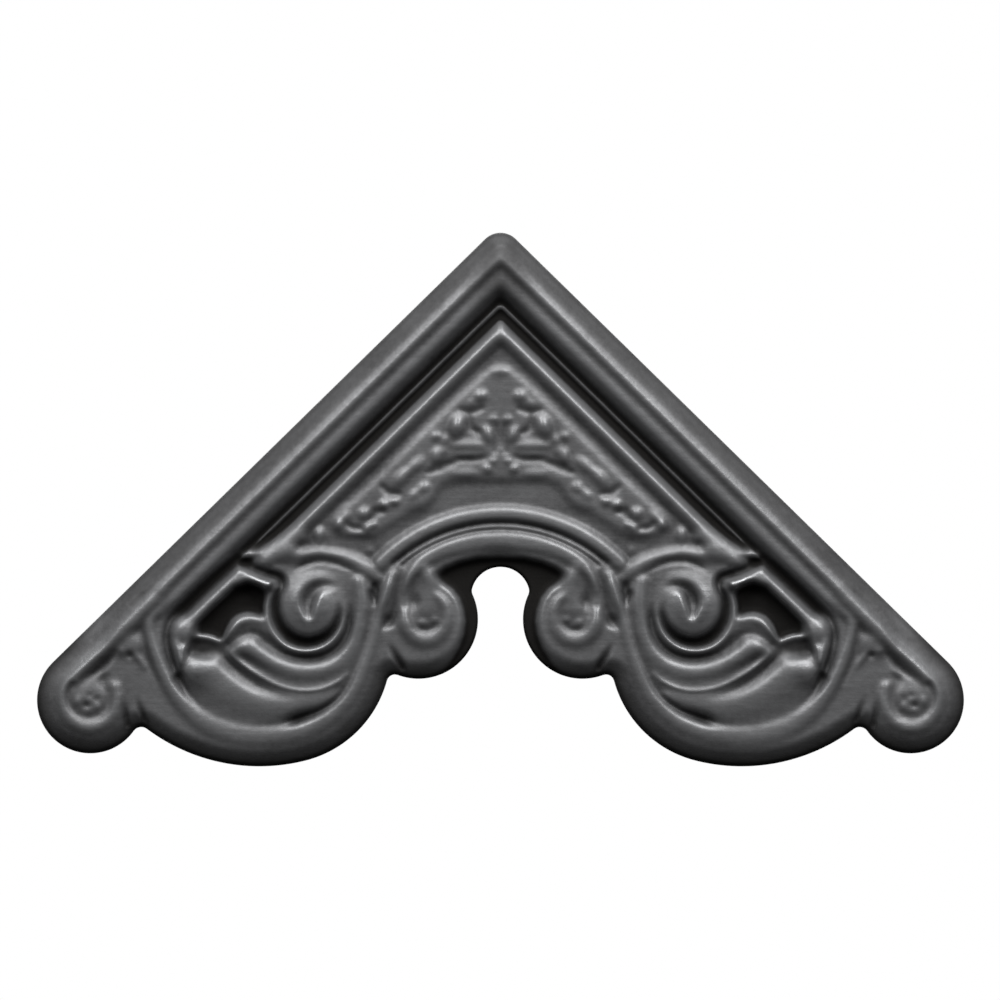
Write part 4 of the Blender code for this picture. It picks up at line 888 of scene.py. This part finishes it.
groove([(154, -172, 1.4, 7.8), (153, -179, 1.6, 7.2), (151, -186.4, 1.9, 7.0),
        (147.4, -194, 1.8, 7.4)], rise=2.4)
groove([(157.2, -199.4, 1.0, 7.6), (155.6, -204, 1.6, 6.2), (153.2, -211, 2.2, 3.6)])
groove([(162, -199.4, 1.0, 7.6), (161.6, -205, 1.6, 6.2), (160.4, -213, 2.2, 3.4)])
print("the foot is pressed")

# %% [markdown]
# Sand the sheet
#
# Sheet metal can't take a corner tighter than about its own thickness, so the finished map is
# softened all over, like a light sanding. Smooth shading alone wouldn't do it, because it rounds
# the light and not the form.

# %% Make a brush
PRESSED_ROUNDING = 0.85


def brushed(heights, size, steps):
    """The map softened with a bell-shaped brush that reaches some steps of the map."""
    shifts = np.arange(-steps, steps + 1)
    shares = np.exp(-0.5 * (shifts * MAP_STEP / size) ** 2)
    for axis in (0, 1):
        heights = sum(share * np.roll(heights, shift, axis=axis)
                      for shift, share in zip(shifts, shares / shares.sum()))
    return heights


def sand():
    """Sand the whole relief once."""
    steps = int(2.5 * PRESSED_ROUNDING / MAP_STEP) + 1
    relief.fill(brushed(relief.heights, PRESSED_ROUNDING, steps)[MAP_MARGIN:].ravel())


relief.fill(height)
sand()
print("sanding takes", round(height.max() - relief.heights.max(), 2), "mm off the highest spot")

# %% [markdown]
# The softest forms
#
# The leaf, the ledge over it and the panel's border are the softest forms of the ornament. Rounder
# tools could make them, but then they would also blend differently with what lies beside them. So
# the whole map is sanded twice more, and only these three take over the result, with a soft change
# at their bounds and never by more than half a millimetre.

# %% Sand the soft forms
SOFT_LEAF = ((58, -164), (62, -172), (68, -181), (78, -186), (90, -186), (100, -181), (106, -176),
             (112, -171), (118, -175), (130, -184), (137, -191), (134, -198), (124, -207),
             (110, -212), (94, -211), (80, -205), (68, -195), (60, -182))
SOFT_LEDGE = ((54, -147), (60, -138), (70, -134.5), (88, -134), (102, -135), (104, -142), (88, -143),
              (70, -144))
SOFT_BORDER_SIDES = ((29.5, 31.5), (38.5, 36.5))
SOFT_BORDER_END = (190.0, 178.0)
MOST_SANDED = 0.5

height = relief.right_half().copy()
sand()
sand()
taken_off = np.clip(relief.right_half() - height, -MOST_SANDED, MOST_SANDED)
soft_border = smooth_step(*SOFT_BORDER_SIDES[0], leg_distance)
soft_border *= smooth_step(*SOFT_BORDER_SIDES[1], leg_distance)
soft_border *= smooth_step(*SOFT_BORDER_END, leg_run)
softer = np.maximum.reduce([area_share(SOFT_LEAF, 2.5), area_share(SOFT_LEDGE, 2.0), soft_border])
height += taken_off * softer
print("the soft forms cover", round(100 * (softer > 0.5).mean()), "percent of the map")

# %% [markdown]
# The crisp lines
#
# Four thin lines are struck after the sanding, because they are the sharpest of the ornament: the
# leaf's turned-up lip, the ledge in the leg's groove and the two grooves of the arch. If they came
# first, the sanding would blur them.

# %% Strike the crisp lines
LEDGE_LINE = 25.3
CRISP = 0.45
line([(66, -190.2, 0.1), (70.2, -193.8, CRISP), (77.6, -196.8, CRISP), (85.6, -197.4, CRISP),
      (94.4, -195.7, CRISP), (103, -191.6, CRISP), (110.2, -186.8, CRISP), (115.2, -182.4, 0.2)])
height += CRISP * on_the_rail * np.exp(-((leg_distance - LEDGE_LINE) / LINE_WIDTH) ** 2)
for radius in (ARCH_LINE_RADIUS, ARCH_LINE_RADIUS - ARCH_LINE_GAP):
    line([(x, z, -CRISP) for x, z, _, _ in round_route(ARCH_CENTRE, radius, 50, 90, 0, 0)])
relief.fill(height)
print("the lines stand or sink by", CRISP, "mm")

# %% [markdown]
# The rolled rim
#
# All round, the sheet is rolled back until its cut edge lies on the wall. So the height can't be
# more than a curve that starts at nothing on the cut edge, rises in a quarter round and goes on
# as a slope. The slope is steeper along the legs than round the scrolls, as on the real piece.

# %% Roll the rim
RIM_WIDTH = 2.0
RIM_RISE = 3.0
LEG_RIM_SLOPE = 0.95
LEG_RIM_SIDE = (20.0, 14.0)
LEG_RIM_END = (250.0, 228.0)
SCROLL_RIM_SLOPE = 0.64
RIM_BLEND = 1.0
EDGE_REACH = 20.0


def edge_distance(spots):
    """Distance in from the outline, up to a limit; negative outside it."""
    near, distance, _ = follow(outline, spots, EDGE_REACH)
    signed = np.full(len(spots), EDGE_REACH)
    signed[near] = distance
    just_right_of_the_axis = np.column_stack([np.maximum(spots[:, 0], 1e-6), spots[:, 1]])
    return np.where(inside(just_right_of_the_axis, outline), signed, -signed)


def rim_limit(spots):
    """How high the sheet can stand at each spot, from its distance to the cut edge."""
    edge = np.maximum(edge_distance(spots), 0)
    inward = spots[:, 0] * LEG_INWARD[0] + (spots[:, 1] - CORNER_TOP) * LEG_INWARD[1]
    run = (spots - np.array([0.0, CORNER_TOP])) @ LEG_ALONG
    on_leg = smooth_step(*LEG_RIM_SIDE, inward) * smooth_step(*LEG_RIM_END, run)
    slope = SCROLL_RIM_SLOPE + (LEG_RIM_SLOPE - SCROLL_RIM_SLOPE) * on_leg
    return RIM_RISE * np.sqrt(1 - (1 - np.minimum(edge / RIM_WIDTH, 1)) ** 2) + slope * edge


def front_height(spots):
    """Height of the front face, with its rim bent down to the wall."""
    return np.maximum(smooth_min(relief.at(spots), rim_limit(spots), RIM_BLEND), 0.0)


print("the front stands", round(front_height(spots[::50]).max(), 1), "mm proud of the wall")

# %% [markdown]
# The hollow back
#
# Seen from behind, the ornament is hollow: the same forms in reverse, only softer, because the
# sheet is 1.2 mm thick. Moving each spot back by 1.2 mm would make steep walls too thin. So a
# ball with a radius of 1.2 mm is rolled over the front, and how deep it reaches is the back.

# %% Roll the ball for the back
hollow = HeightMap()
hollow.fill(front_height(hollow.spots))


def worn_away(heights):
    """The heights that a ball, with the sheet's thickness as its radius, leaves of these."""
    reach = int(SHEET / MAP_STEP)
    worn = heights - SHEET
    for across in range(-reach, reach + 1):
        for up in range(-reach, reach + 1):
            gap = MAP_STEP * np.hypot(across, up)
            if gap <= SHEET:
                moved = np.roll(heights, (across, up), axis=(0, 1))
                worn = np.minimum(worn, moved - np.sqrt(SHEET**2 - gap**2))
    return worn[MAP_MARGIN:].ravel()


hollow.fill(worn_away(hollow.heights))


def back_height(spots):
    return np.maximum(hollow.at(spots), 0.0)


print("the hollow is", round(hollow.heights.max(), 1), "mm deep")

# %% [markdown]
# From heights to a mesh
#
# A grid of squares would end in steps along the curved outline. So we scatter spots evenly, add
# a few rows that follow the rim, and let Blender's own triangulator join them. The rows of the
# even field run along the leg, so its long straight mouldings stay straight. Each face of the
# sheet is made this way, and a narrow strip along the cut edge ties them together.

# %% Scatter the spots
FRONT_SPACING = 0.82
BACK_SPACING = 1.9
FRONT_ROWS = (0.3, 0.8, 1.5, 2.3)
BACK_ROWS = (0.5, 1.4)
FIELD_SIZE = (300.0, 125.0)
RIM_MIDDLE = SHEET / 2


def inset(path, distance):
    """The half outline moved inward; its ends stay on the axis of symmetry."""
    ahead = np.vstack([path[1:], path[-1] + [-1.0, 0.0]])
    behind = np.vstack([path[0] - [1.0, 0.0], path[:-1]])
    way = ahead - behind
    normals = np.column_stack([way[:, 1], -way[:, 0]])
    moved = path + distance * normals / np.linalg.norm(normals, axis=1)[:, None]
    moved[0, 0] = moved[-1, 0] = 0.0
    return moved


def spaced_out(path, spacing):
    """The points of a path that are not much nearer to each other than the spacing."""
    kept = [path[0]]
    for point in path[1:]:
        if np.linalg.norm(point - kept[-1]) > 0.7 * spacing:
            kept.append(point)
    return np.array(kept)


def scatter(start, rows, spacing):
    """Rows of spots beside the rim, and inside them an even field in rows along the leg."""
    beside_rim = []
    for row in rows:
        candidates = spaced_out(inset(outline, start + row), min(spacing, OUTLINE_SPACING))
        deep = edge_distance(candidates) > 0.97 * (start + row)
        beside_rim.append(candidates[deep & (candidates[:, 0] > 0.4 * spacing)])
    field = []
    for index, inward in enumerate(np.arange(0.0, FIELD_SIZE[1], spacing * np.sqrt(3) / 2)):
        run = np.arange(spacing * (0.5 if index % 2 else 1.0), FIELD_SIZE[0], spacing)
        field.append(leg_spot(0.0, inward) + run[:, None] * LEG_ALONG)
    field = np.vstack(field)
    field = field[(field[:, 0] > 0.45 * spacing) & inside(field, outline)]
    field = field[edge_distance(field) > start + rows[-1] + 0.6 * spacing]
    return np.vstack(beside_rim + [field])


print("the front gets", len(scatter(0.0, FRONT_ROWS, FRONT_SPACING)), "spots")

# %% [markdown]
# Join the spots
#
# Delaunay triangles are the even ones that a surveyor draws between measured points. Blender's
# triangulator makes them and keeps the outline as a fixed border. The front and the back are made
# in the same way, the back with larger triangles because it is plainer.

# %% Join the spots into the two faces of the sheet
def triangulate(boundary, inner, spacing):
    """Triangles over one half, inside a boundary that begins and ends at x = 0."""
    top, end = boundary[0][1], boundary[-1][1]
    count = int(round((top - end) / spacing))
    axis = np.column_stack([np.zeros(count - 1), np.linspace(end, top, count + 1)[1:-1]])
    loop = np.vstack([boundary, axis])
    edges = [(index, (index + 1) % len(loop)) for index in range(len(loop))]
    points = [Vector(point) for point in np.vstack([loop, inner])]
    found = delaunay_2d_cdt(points, edges, [], 1, 1e-6)
    place = {origin: index for index, origins in enumerate(found[3]) for origin in origins}
    rim = [place[index] for index in range(len(boundary))]
    return np.array([tuple(vertex) for vertex in found[0]]), found[2], rim


def add_face_sheet(mesh, boundary, inner, spacing, height_of, flip):
    """Add one face of the sheet to the mesh and return its boundary vertices in order."""
    places, faces, rim = triangulate(boundary, inner, spacing)
    heights = height_of(places)
    heights[rim] = 0.0
    vertices = [mesh.verts.new((x, -h, z + RIM_MIDDLE)) for (x, z), h in zip(places, heights)]
    for face in faces:
        mesh.faces.new([vertices[index] for index in (reversed(face) if flip else face)])
    return [vertices[index] for index in rim]


shell = bmesh.new()
front_rim = add_face_sheet(shell, outline, scatter(0.0, FRONT_ROWS, FRONT_SPACING),
                           FRONT_SPACING, front_height, False)
back_rim = add_face_sheet(shell, inset(outline, SHEET), scatter(SHEET, BACK_ROWS, BACK_SPACING),
                          BACK_SPACING, back_height, True)
for index in range(len(front_rim) - 1):
    shell.faces.new((front_rim[index], front_rim[index + 1], back_rim[index + 1], back_rim[index]))
bmesh.ops.triangulate(shell, faces=[face for face in shell.faces if len(face.verts) > 3])
bmesh.ops.scale(shell, vec=(MILLIMETRE,) * 3, verts=shell.verts)
print("one half has", len(shell.faces), "triangles")

# %% [markdown]
# Where the skin is painted dark and where it is painted light
#
# Oxide stays dark in the hollows of real pressed steel, and here the hollows are also painted darker as
# shade, and the crests painted lighter as highlights. A painter would brush that on by hand. Here every
# corner of the mesh is told two numbers that the finish can read, and both come straight from the
# height map: how far it stands above what is round it, with a painted highlight added on thin crests
# and on the tallest forms, and how much painted shade lies on it. The tallest forms count as crests all
# over, which paints a broad highlight on them.

# %% Measure the crests
CREST_REACH = 3.2
FINE_CREST_REACH = 1.4
FINE_CREST_HIGHLIGHT_SHARE = 3.2
LEAST_FINE_CREST = 1.0
TALL = (9.0, 10.5)
TALL_HIGHLIGHT_SHARE = 2.8
LEG_SIDE = (34.0, 26.0)
LEG_END = (262.0, 240.0)


def crests(reach):
    """How far each spot stands above the relief with all that is smaller than the reach gone."""
    washed_out = brushed(relief.heights, reach, int(2 * reach / MAP_STEP))
    return (relief.heights - washed_out)[MAP_MARGIN:].ravel()


fine_crest = crests(FINE_CREST_REACH)
# Thin crests get a painted highlight on top of how far the relief stands out
above = np.maximum(crests(CREST_REACH), FINE_CREST_HIGHLIGHT_SHARE * fine_crest - LEAST_FINE_CREST)
along_the_leg = smooth_step(*LEG_SIDE, leg_distance) * smooth_step(*LEG_END, leg_run)
# Painted highlight: the tallest forms off the legs are made lighter all over
above += TALL_HIGHLIGHT_SHARE * smooth_step(*TALL, relief.at(spots)) * (1 - along_the_leg)
crest_light_and_shade_map = HeightMap().fill(above)
print("hollows reach", round(above.min(), 1), "mm and crests", round(above.max(), 1), "mm")

# %% [markdown]
# Painted shade
#
# Shade is painted into the colour where the light falls short. That is deep down, but not on a small
# crest that stands in the depth, and on the rolled rim wherever it faces down. The outer face of the
# legs and the apex get a part of the painted shade too, which makes them a little darker.

# %% Measure the painted shade
SHALLOW = 7.0
DEEP = 3.4
UNSHADED_FINE_CREST = (0.04, 0.20)
SHADED_RIM_REACH = (8.0, 0.5)
RIM_PAINTED_SHADE = 0.8
OUTER_FACE = (8.8, 6.8)
OUTER_FACE_END = (250.0, 225.0)
OUTER_FACE_PAINTED_SHADE = 0.4
APEX_REACH = (20.0, 5.0)
APEX_SIDE = (24.0, 18.0)
APEX_PAINTED_SHADE = 0.5

# Painted shade in the deep hollows, left off the small crests that stand in them
deep = smooth_step(SHALLOW, DEEP, relief.at(spots)) * (1 - smooth_step(*UNSHADED_FINE_CREST, fine_crest))
# Painted shade on the rolled rim off the legs, where it faces down
shaded_lower_rim = (1 - along_the_leg) * smooth_step(*SHADED_RIM_REACH, edge_distance(spots))
# Painted shade on the outer face of the legs and at the apex
shaded_outer_face = smooth_step(*OUTER_FACE, leg_distance) * smooth_step(*OUTER_FACE_END, leg_run)
apex = smooth_step(*APEX_REACH, spots[:, 0]) * smooth_step(*APEX_SIDE, leg_distance)
painted_shade = HeightMap().fill(np.maximum.reduce([deep, RIM_PAINTED_SHADE * shaded_lower_rim, APEX_PAINTED_SHADE * apex,
                                            OUTER_FACE_PAINTED_SHADE * shaded_outer_face]))
print("grime covers", round(100 * (painted_shade.heights > 0.5).mean()), "percent of the map")

# %% [markdown]
# The left half
#
# The Mirror modifier makes the left half and welds it to the right one along the middle, as the
# press tool itself was cut with both halves alike.

# %% Make the ornament
skin = bpy.data.meshes.new("embossed_ornament")
shell.to_mesh(skin)
shell.free()
skin.shade_smooth()
places = np.zeros(3 * len(skin.vertices))
skin.vertices.foreach_get("co", places)
places = places.reshape(-1, 3) / MILLIMETRE
on_the_map = np.column_stack([places[:, 0], places[:, 2] - RIM_MIDDLE])
for name, known in (("crest_light_and_shade", crest_light_and_shade_map), ("painted_shade", painted_shade)):
    skin.attributes.new(name, "FLOAT", "POINT").data.foreach_set("value", known.at(on_the_map))
ornament = bpy.data.objects.new("embossed_ornament", skin)
bpy.context.scene.collection.objects.link(ornament)
mirror = ornament.modifiers.new("left_half", "MIRROR")
mirror.merge_threshold = 0.0001
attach(ornament, "root")
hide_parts("pressed_ornament")
print("the whole ornament has", 2 * len(skin.polygons), "triangles")

# %% [markdown]
# Dark steel
#
# The finish is bare sheet steel with a dark, thin oxide skin: more matte than polished metal, and
# uneven. Four things make it look real. The tone follows the relief, from almost black painted shade in
# the hollows to a grey with painted highlight on the crests. Soft clouds mottle it. The crests are worn
# through to brighter, smoother metal in broken patches, which also paints highlights on them. And fine
# grain and faint rolling marks roughen it. All the noise is in the object's own coordinates, so it
# stays put when the piece is turned. Four helpers keep the nodes short: noise, a spread from one
# stretch of numbers to another, a sum, and what the mesh was told.

# %% Helpers for the finish
def noise(tree, place, scale, detail, stretch=(1.0, 1.0, 1.0)):
    """Noise of a scale per metre, drawn out along an axis where its stretch is small."""
    mapping = tree.nodes.new("ShaderNodeMapping")
    mapping.inputs["Scale"].default_value = stretch
    tree.links.new(place, mapping.inputs["Vector"])
    texture = tree.nodes.new("ShaderNodeTexNoise")
    texture.inputs["Scale"].default_value = scale
    texture.inputs["Detail"].default_value = detail
    tree.links.new(mapping.outputs["Vector"], texture.inputs["Vector"])
    return texture.outputs["Fac"]


def spread(tree, value, first, last, low=0.0, high=1.0):
    """Bring the stretch between two values to another stretch, and hold it there outside."""
    node = tree.nodes.new("ShaderNodeMapRange")
    for name, number in (("From Min", first), ("From Max", last), ("To Min", low), ("To Max", high)):
        node.inputs[name].default_value = number
    tree.links.new(value, node.inputs["Value"])
    return node.outputs["Result"]


def add_up(tree, first, share, second):
    """The first value times a share, plus the second value."""
    node = tree.nodes.new("ShaderNodeMath")
    node.operation = "MULTIPLY_ADD"
    node.inputs[1].default_value = share
    tree.links.new(first, node.inputs[0])
    tree.links.new(second, node.inputs[2])
    return node.outputs["Value"]


def measured(tree, name):
    """A number that each corner of the mesh was told."""
    node = tree.nodes.new("ShaderNodeAttribute")
    node.attribute_name = name
    return node.outputs["Fac"]


print("the helpers for the finish are ready")

# %% [markdown]
# The tones
#
# Oxide on steel isn't one grey. It is nearly black where it is thick and mid-grey where it is thin, and
# here the same greys also paint shade into the hollows and highlight onto the crests, so a colour ramp
# turns one number, the tone, into these greys. Painted shade and worn metal, which also paints
# highlights, are then laid over it, each with its own share.

# %% Mix the tones
# Greys from painted shade in the hollows to painted highlight on the crests, over the oxide's own tone
OXIDE_SHADE_AND_HIGHLIGHT_TONES = ((0.10, (0.024, 0.024, 0.025)), (0.55, (0.074, 0.074, 0.076)),
               (1.0, (0.112, 0.113, 0.116)))
# Near-black colour of the painted shade in the hollows, on the downward rim, at the apex and on the
# legs' outer face
PAINTED_SHADE_COLOUR = (0.010, 0.0095, 0.009, 1.0)
# Light grey of worn metal, which also paints a highlight on the crests
WORN_AND_HIGHLIGHT = (0.160, 0.162, 0.166, 1.0)


def oxide_shade_and_highlight_tones(tree, tone):
    """The greys of the oxide skin, from painted shade in the hollows to painted highlight on the
    crests.
    """
    ramp = tree.nodes.new("ShaderNodeValToRGB")
    ramp.color_ramp.elements.new(OXIDE_SHADE_AND_HIGHLIGHT_TONES[1][0])
    for element, (position, colour) in zip(ramp.color_ramp.elements, OXIDE_SHADE_AND_HIGHLIGHT_TONES):
        element.position = position
        element.color = (*colour, 1.0)
    tree.links.new(tone, ramp.inputs["Fac"])
    return ramp.outputs["Color"]


def covered(tree, below, colour, share):
    """A colour laid over another one by a share."""
    node = tree.nodes.new("ShaderNodeMix")
    node.data_type = "RGBA"
    node.inputs["B"].default_value = colour
    tree.links.new(share, node.inputs["Factor"])
    tree.links.new(below, node.inputs["A"])
    return node.outputs["Result"]


print("the oxide has", len(OXIDE_SHADE_AND_HIGHLIGHT_TONES), "tones")

# %% [markdown]
# The bump
#
# Rolled sheet is never quite flat. Low waves from the rolling mill, fine grain and the rolling
# marks bend the light a little, which breaks up the gleams. They are far too small for the mesh,
# so a bump node makes them.

# %% Roughen the sheet
WAVES = (150.0, 3.0)
GRAIN = (1500.0, 3.0)
BUMP_STRENGTH = 0.3
BUMP_DEPTH = 0.0003


def rough_surface(tree, place, rolling):
    """A bumpy normal from waves, grain and the rolling marks."""
    bump = tree.nodes.new("ShaderNodeBump")
    bump.inputs["Strength"].default_value = BUMP_STRENGTH
    bump.inputs["Distance"].default_value = BUMP_DEPTH
    grain = add_up(tree, noise(tree, place, *GRAIN), 0.5, rolling)
    tree.links.new(add_up(tree, noise(tree, place, *WAVES), 2.5, grain), bump.inputs["Height"])
    return bump.outputs["Normal"]


print("the bumps are up to", 1000 * BUMP_DEPTH, "mm deep")

# %% [markdown]
# The finished steel
#
# All comes together in one shader. The tone adds the clouds, the specks and the rolling marks to how
# far the spot stands out, which paints shade and highlight by the relief. Worn crests are more metallic
# and smoother. The painted shade is matte and reflects almost nothing, which keeps the grooves painted
# dark from every side.

# %% Mix the steel
CLOUDS = (45.0, 6.0)
SPECKS = (420.0, 4.0)
ROLLING = (260.0, 4.0)
ALONG_THE_SHEET = (0.12, 1.0, 1.6)
METALLIC = (0.55, 0.85)
ROUGHNESS = (0.50, 0.34)
# Specular falls to almost nothing where shade is painted
SPECULAR = (0.3, 0.05)


def dark_steel():
    finish = bpy.data.materials.new("dark_pressed_steel")
    finish.use_nodes = True
    tree = finish.node_tree
    socket = tree.nodes["Principled BSDF"].inputs
    place = tree.nodes.new("ShaderNodeTexCoord").outputs["Object"]
    above, painted_shade = measured(tree, "crest_light_and_shade"), measured(tree, "painted_shade")
    specks = noise(tree, place, *SPECKS)
    rolling = noise(tree, place, *ROLLING, stretch=ALONG_THE_SHEET)

    # The tone paints shade into the hollows and highlight onto the crests, by how far each spot stands
    # out
    tone = spread(tree, above, -1.0, 1.8, -0.36, 0.64)
    tone = add_up(tree, noise(tree, place, *CLOUDS), 0.70, tone)
    tone = add_up(tree, specks, 0.45, tone)
    tone = add_up(tree, rolling, 0.20, tone)
    # Worn metal on the highest crests, partly real wear and partly a painted highlight
    worn = spread(tree, add_up(tree, specks, 3.0, above), 3.2, 5.0)
    colour = covered(tree, oxide_shade_and_highlight_tones(tree, tone), WORN_AND_HIGHLIGHT, worn)
    matte = add_up(tree, rolling, 0.12, spread(tree, tone, 0.1, 1.1, *ROUGHNESS))

    # The painted shade darkens the colour, makes it matte and takes away its reflection
    for value, name in ((covered(tree, colour, PAINTED_SHADE_COLOUR, painted_shade), "Base Color"),
                        (spread(tree, worn, 0.0, 1.0, *METALLIC), "Metallic"),
                        (add_up(tree, painted_shade, 0.3, matte), "Roughness"),
                        (spread(tree, painted_shade, 0.0, 1.0, *SPECULAR), "Specular IOR Level"),
                        (rough_surface(tree, place, rolling), "Normal")):
        tree.links.new(value, socket[name])
    return finish


skin.materials.append(dark_steel())
print("the steel has", len(skin.materials[0].node_tree.nodes), "nodes")
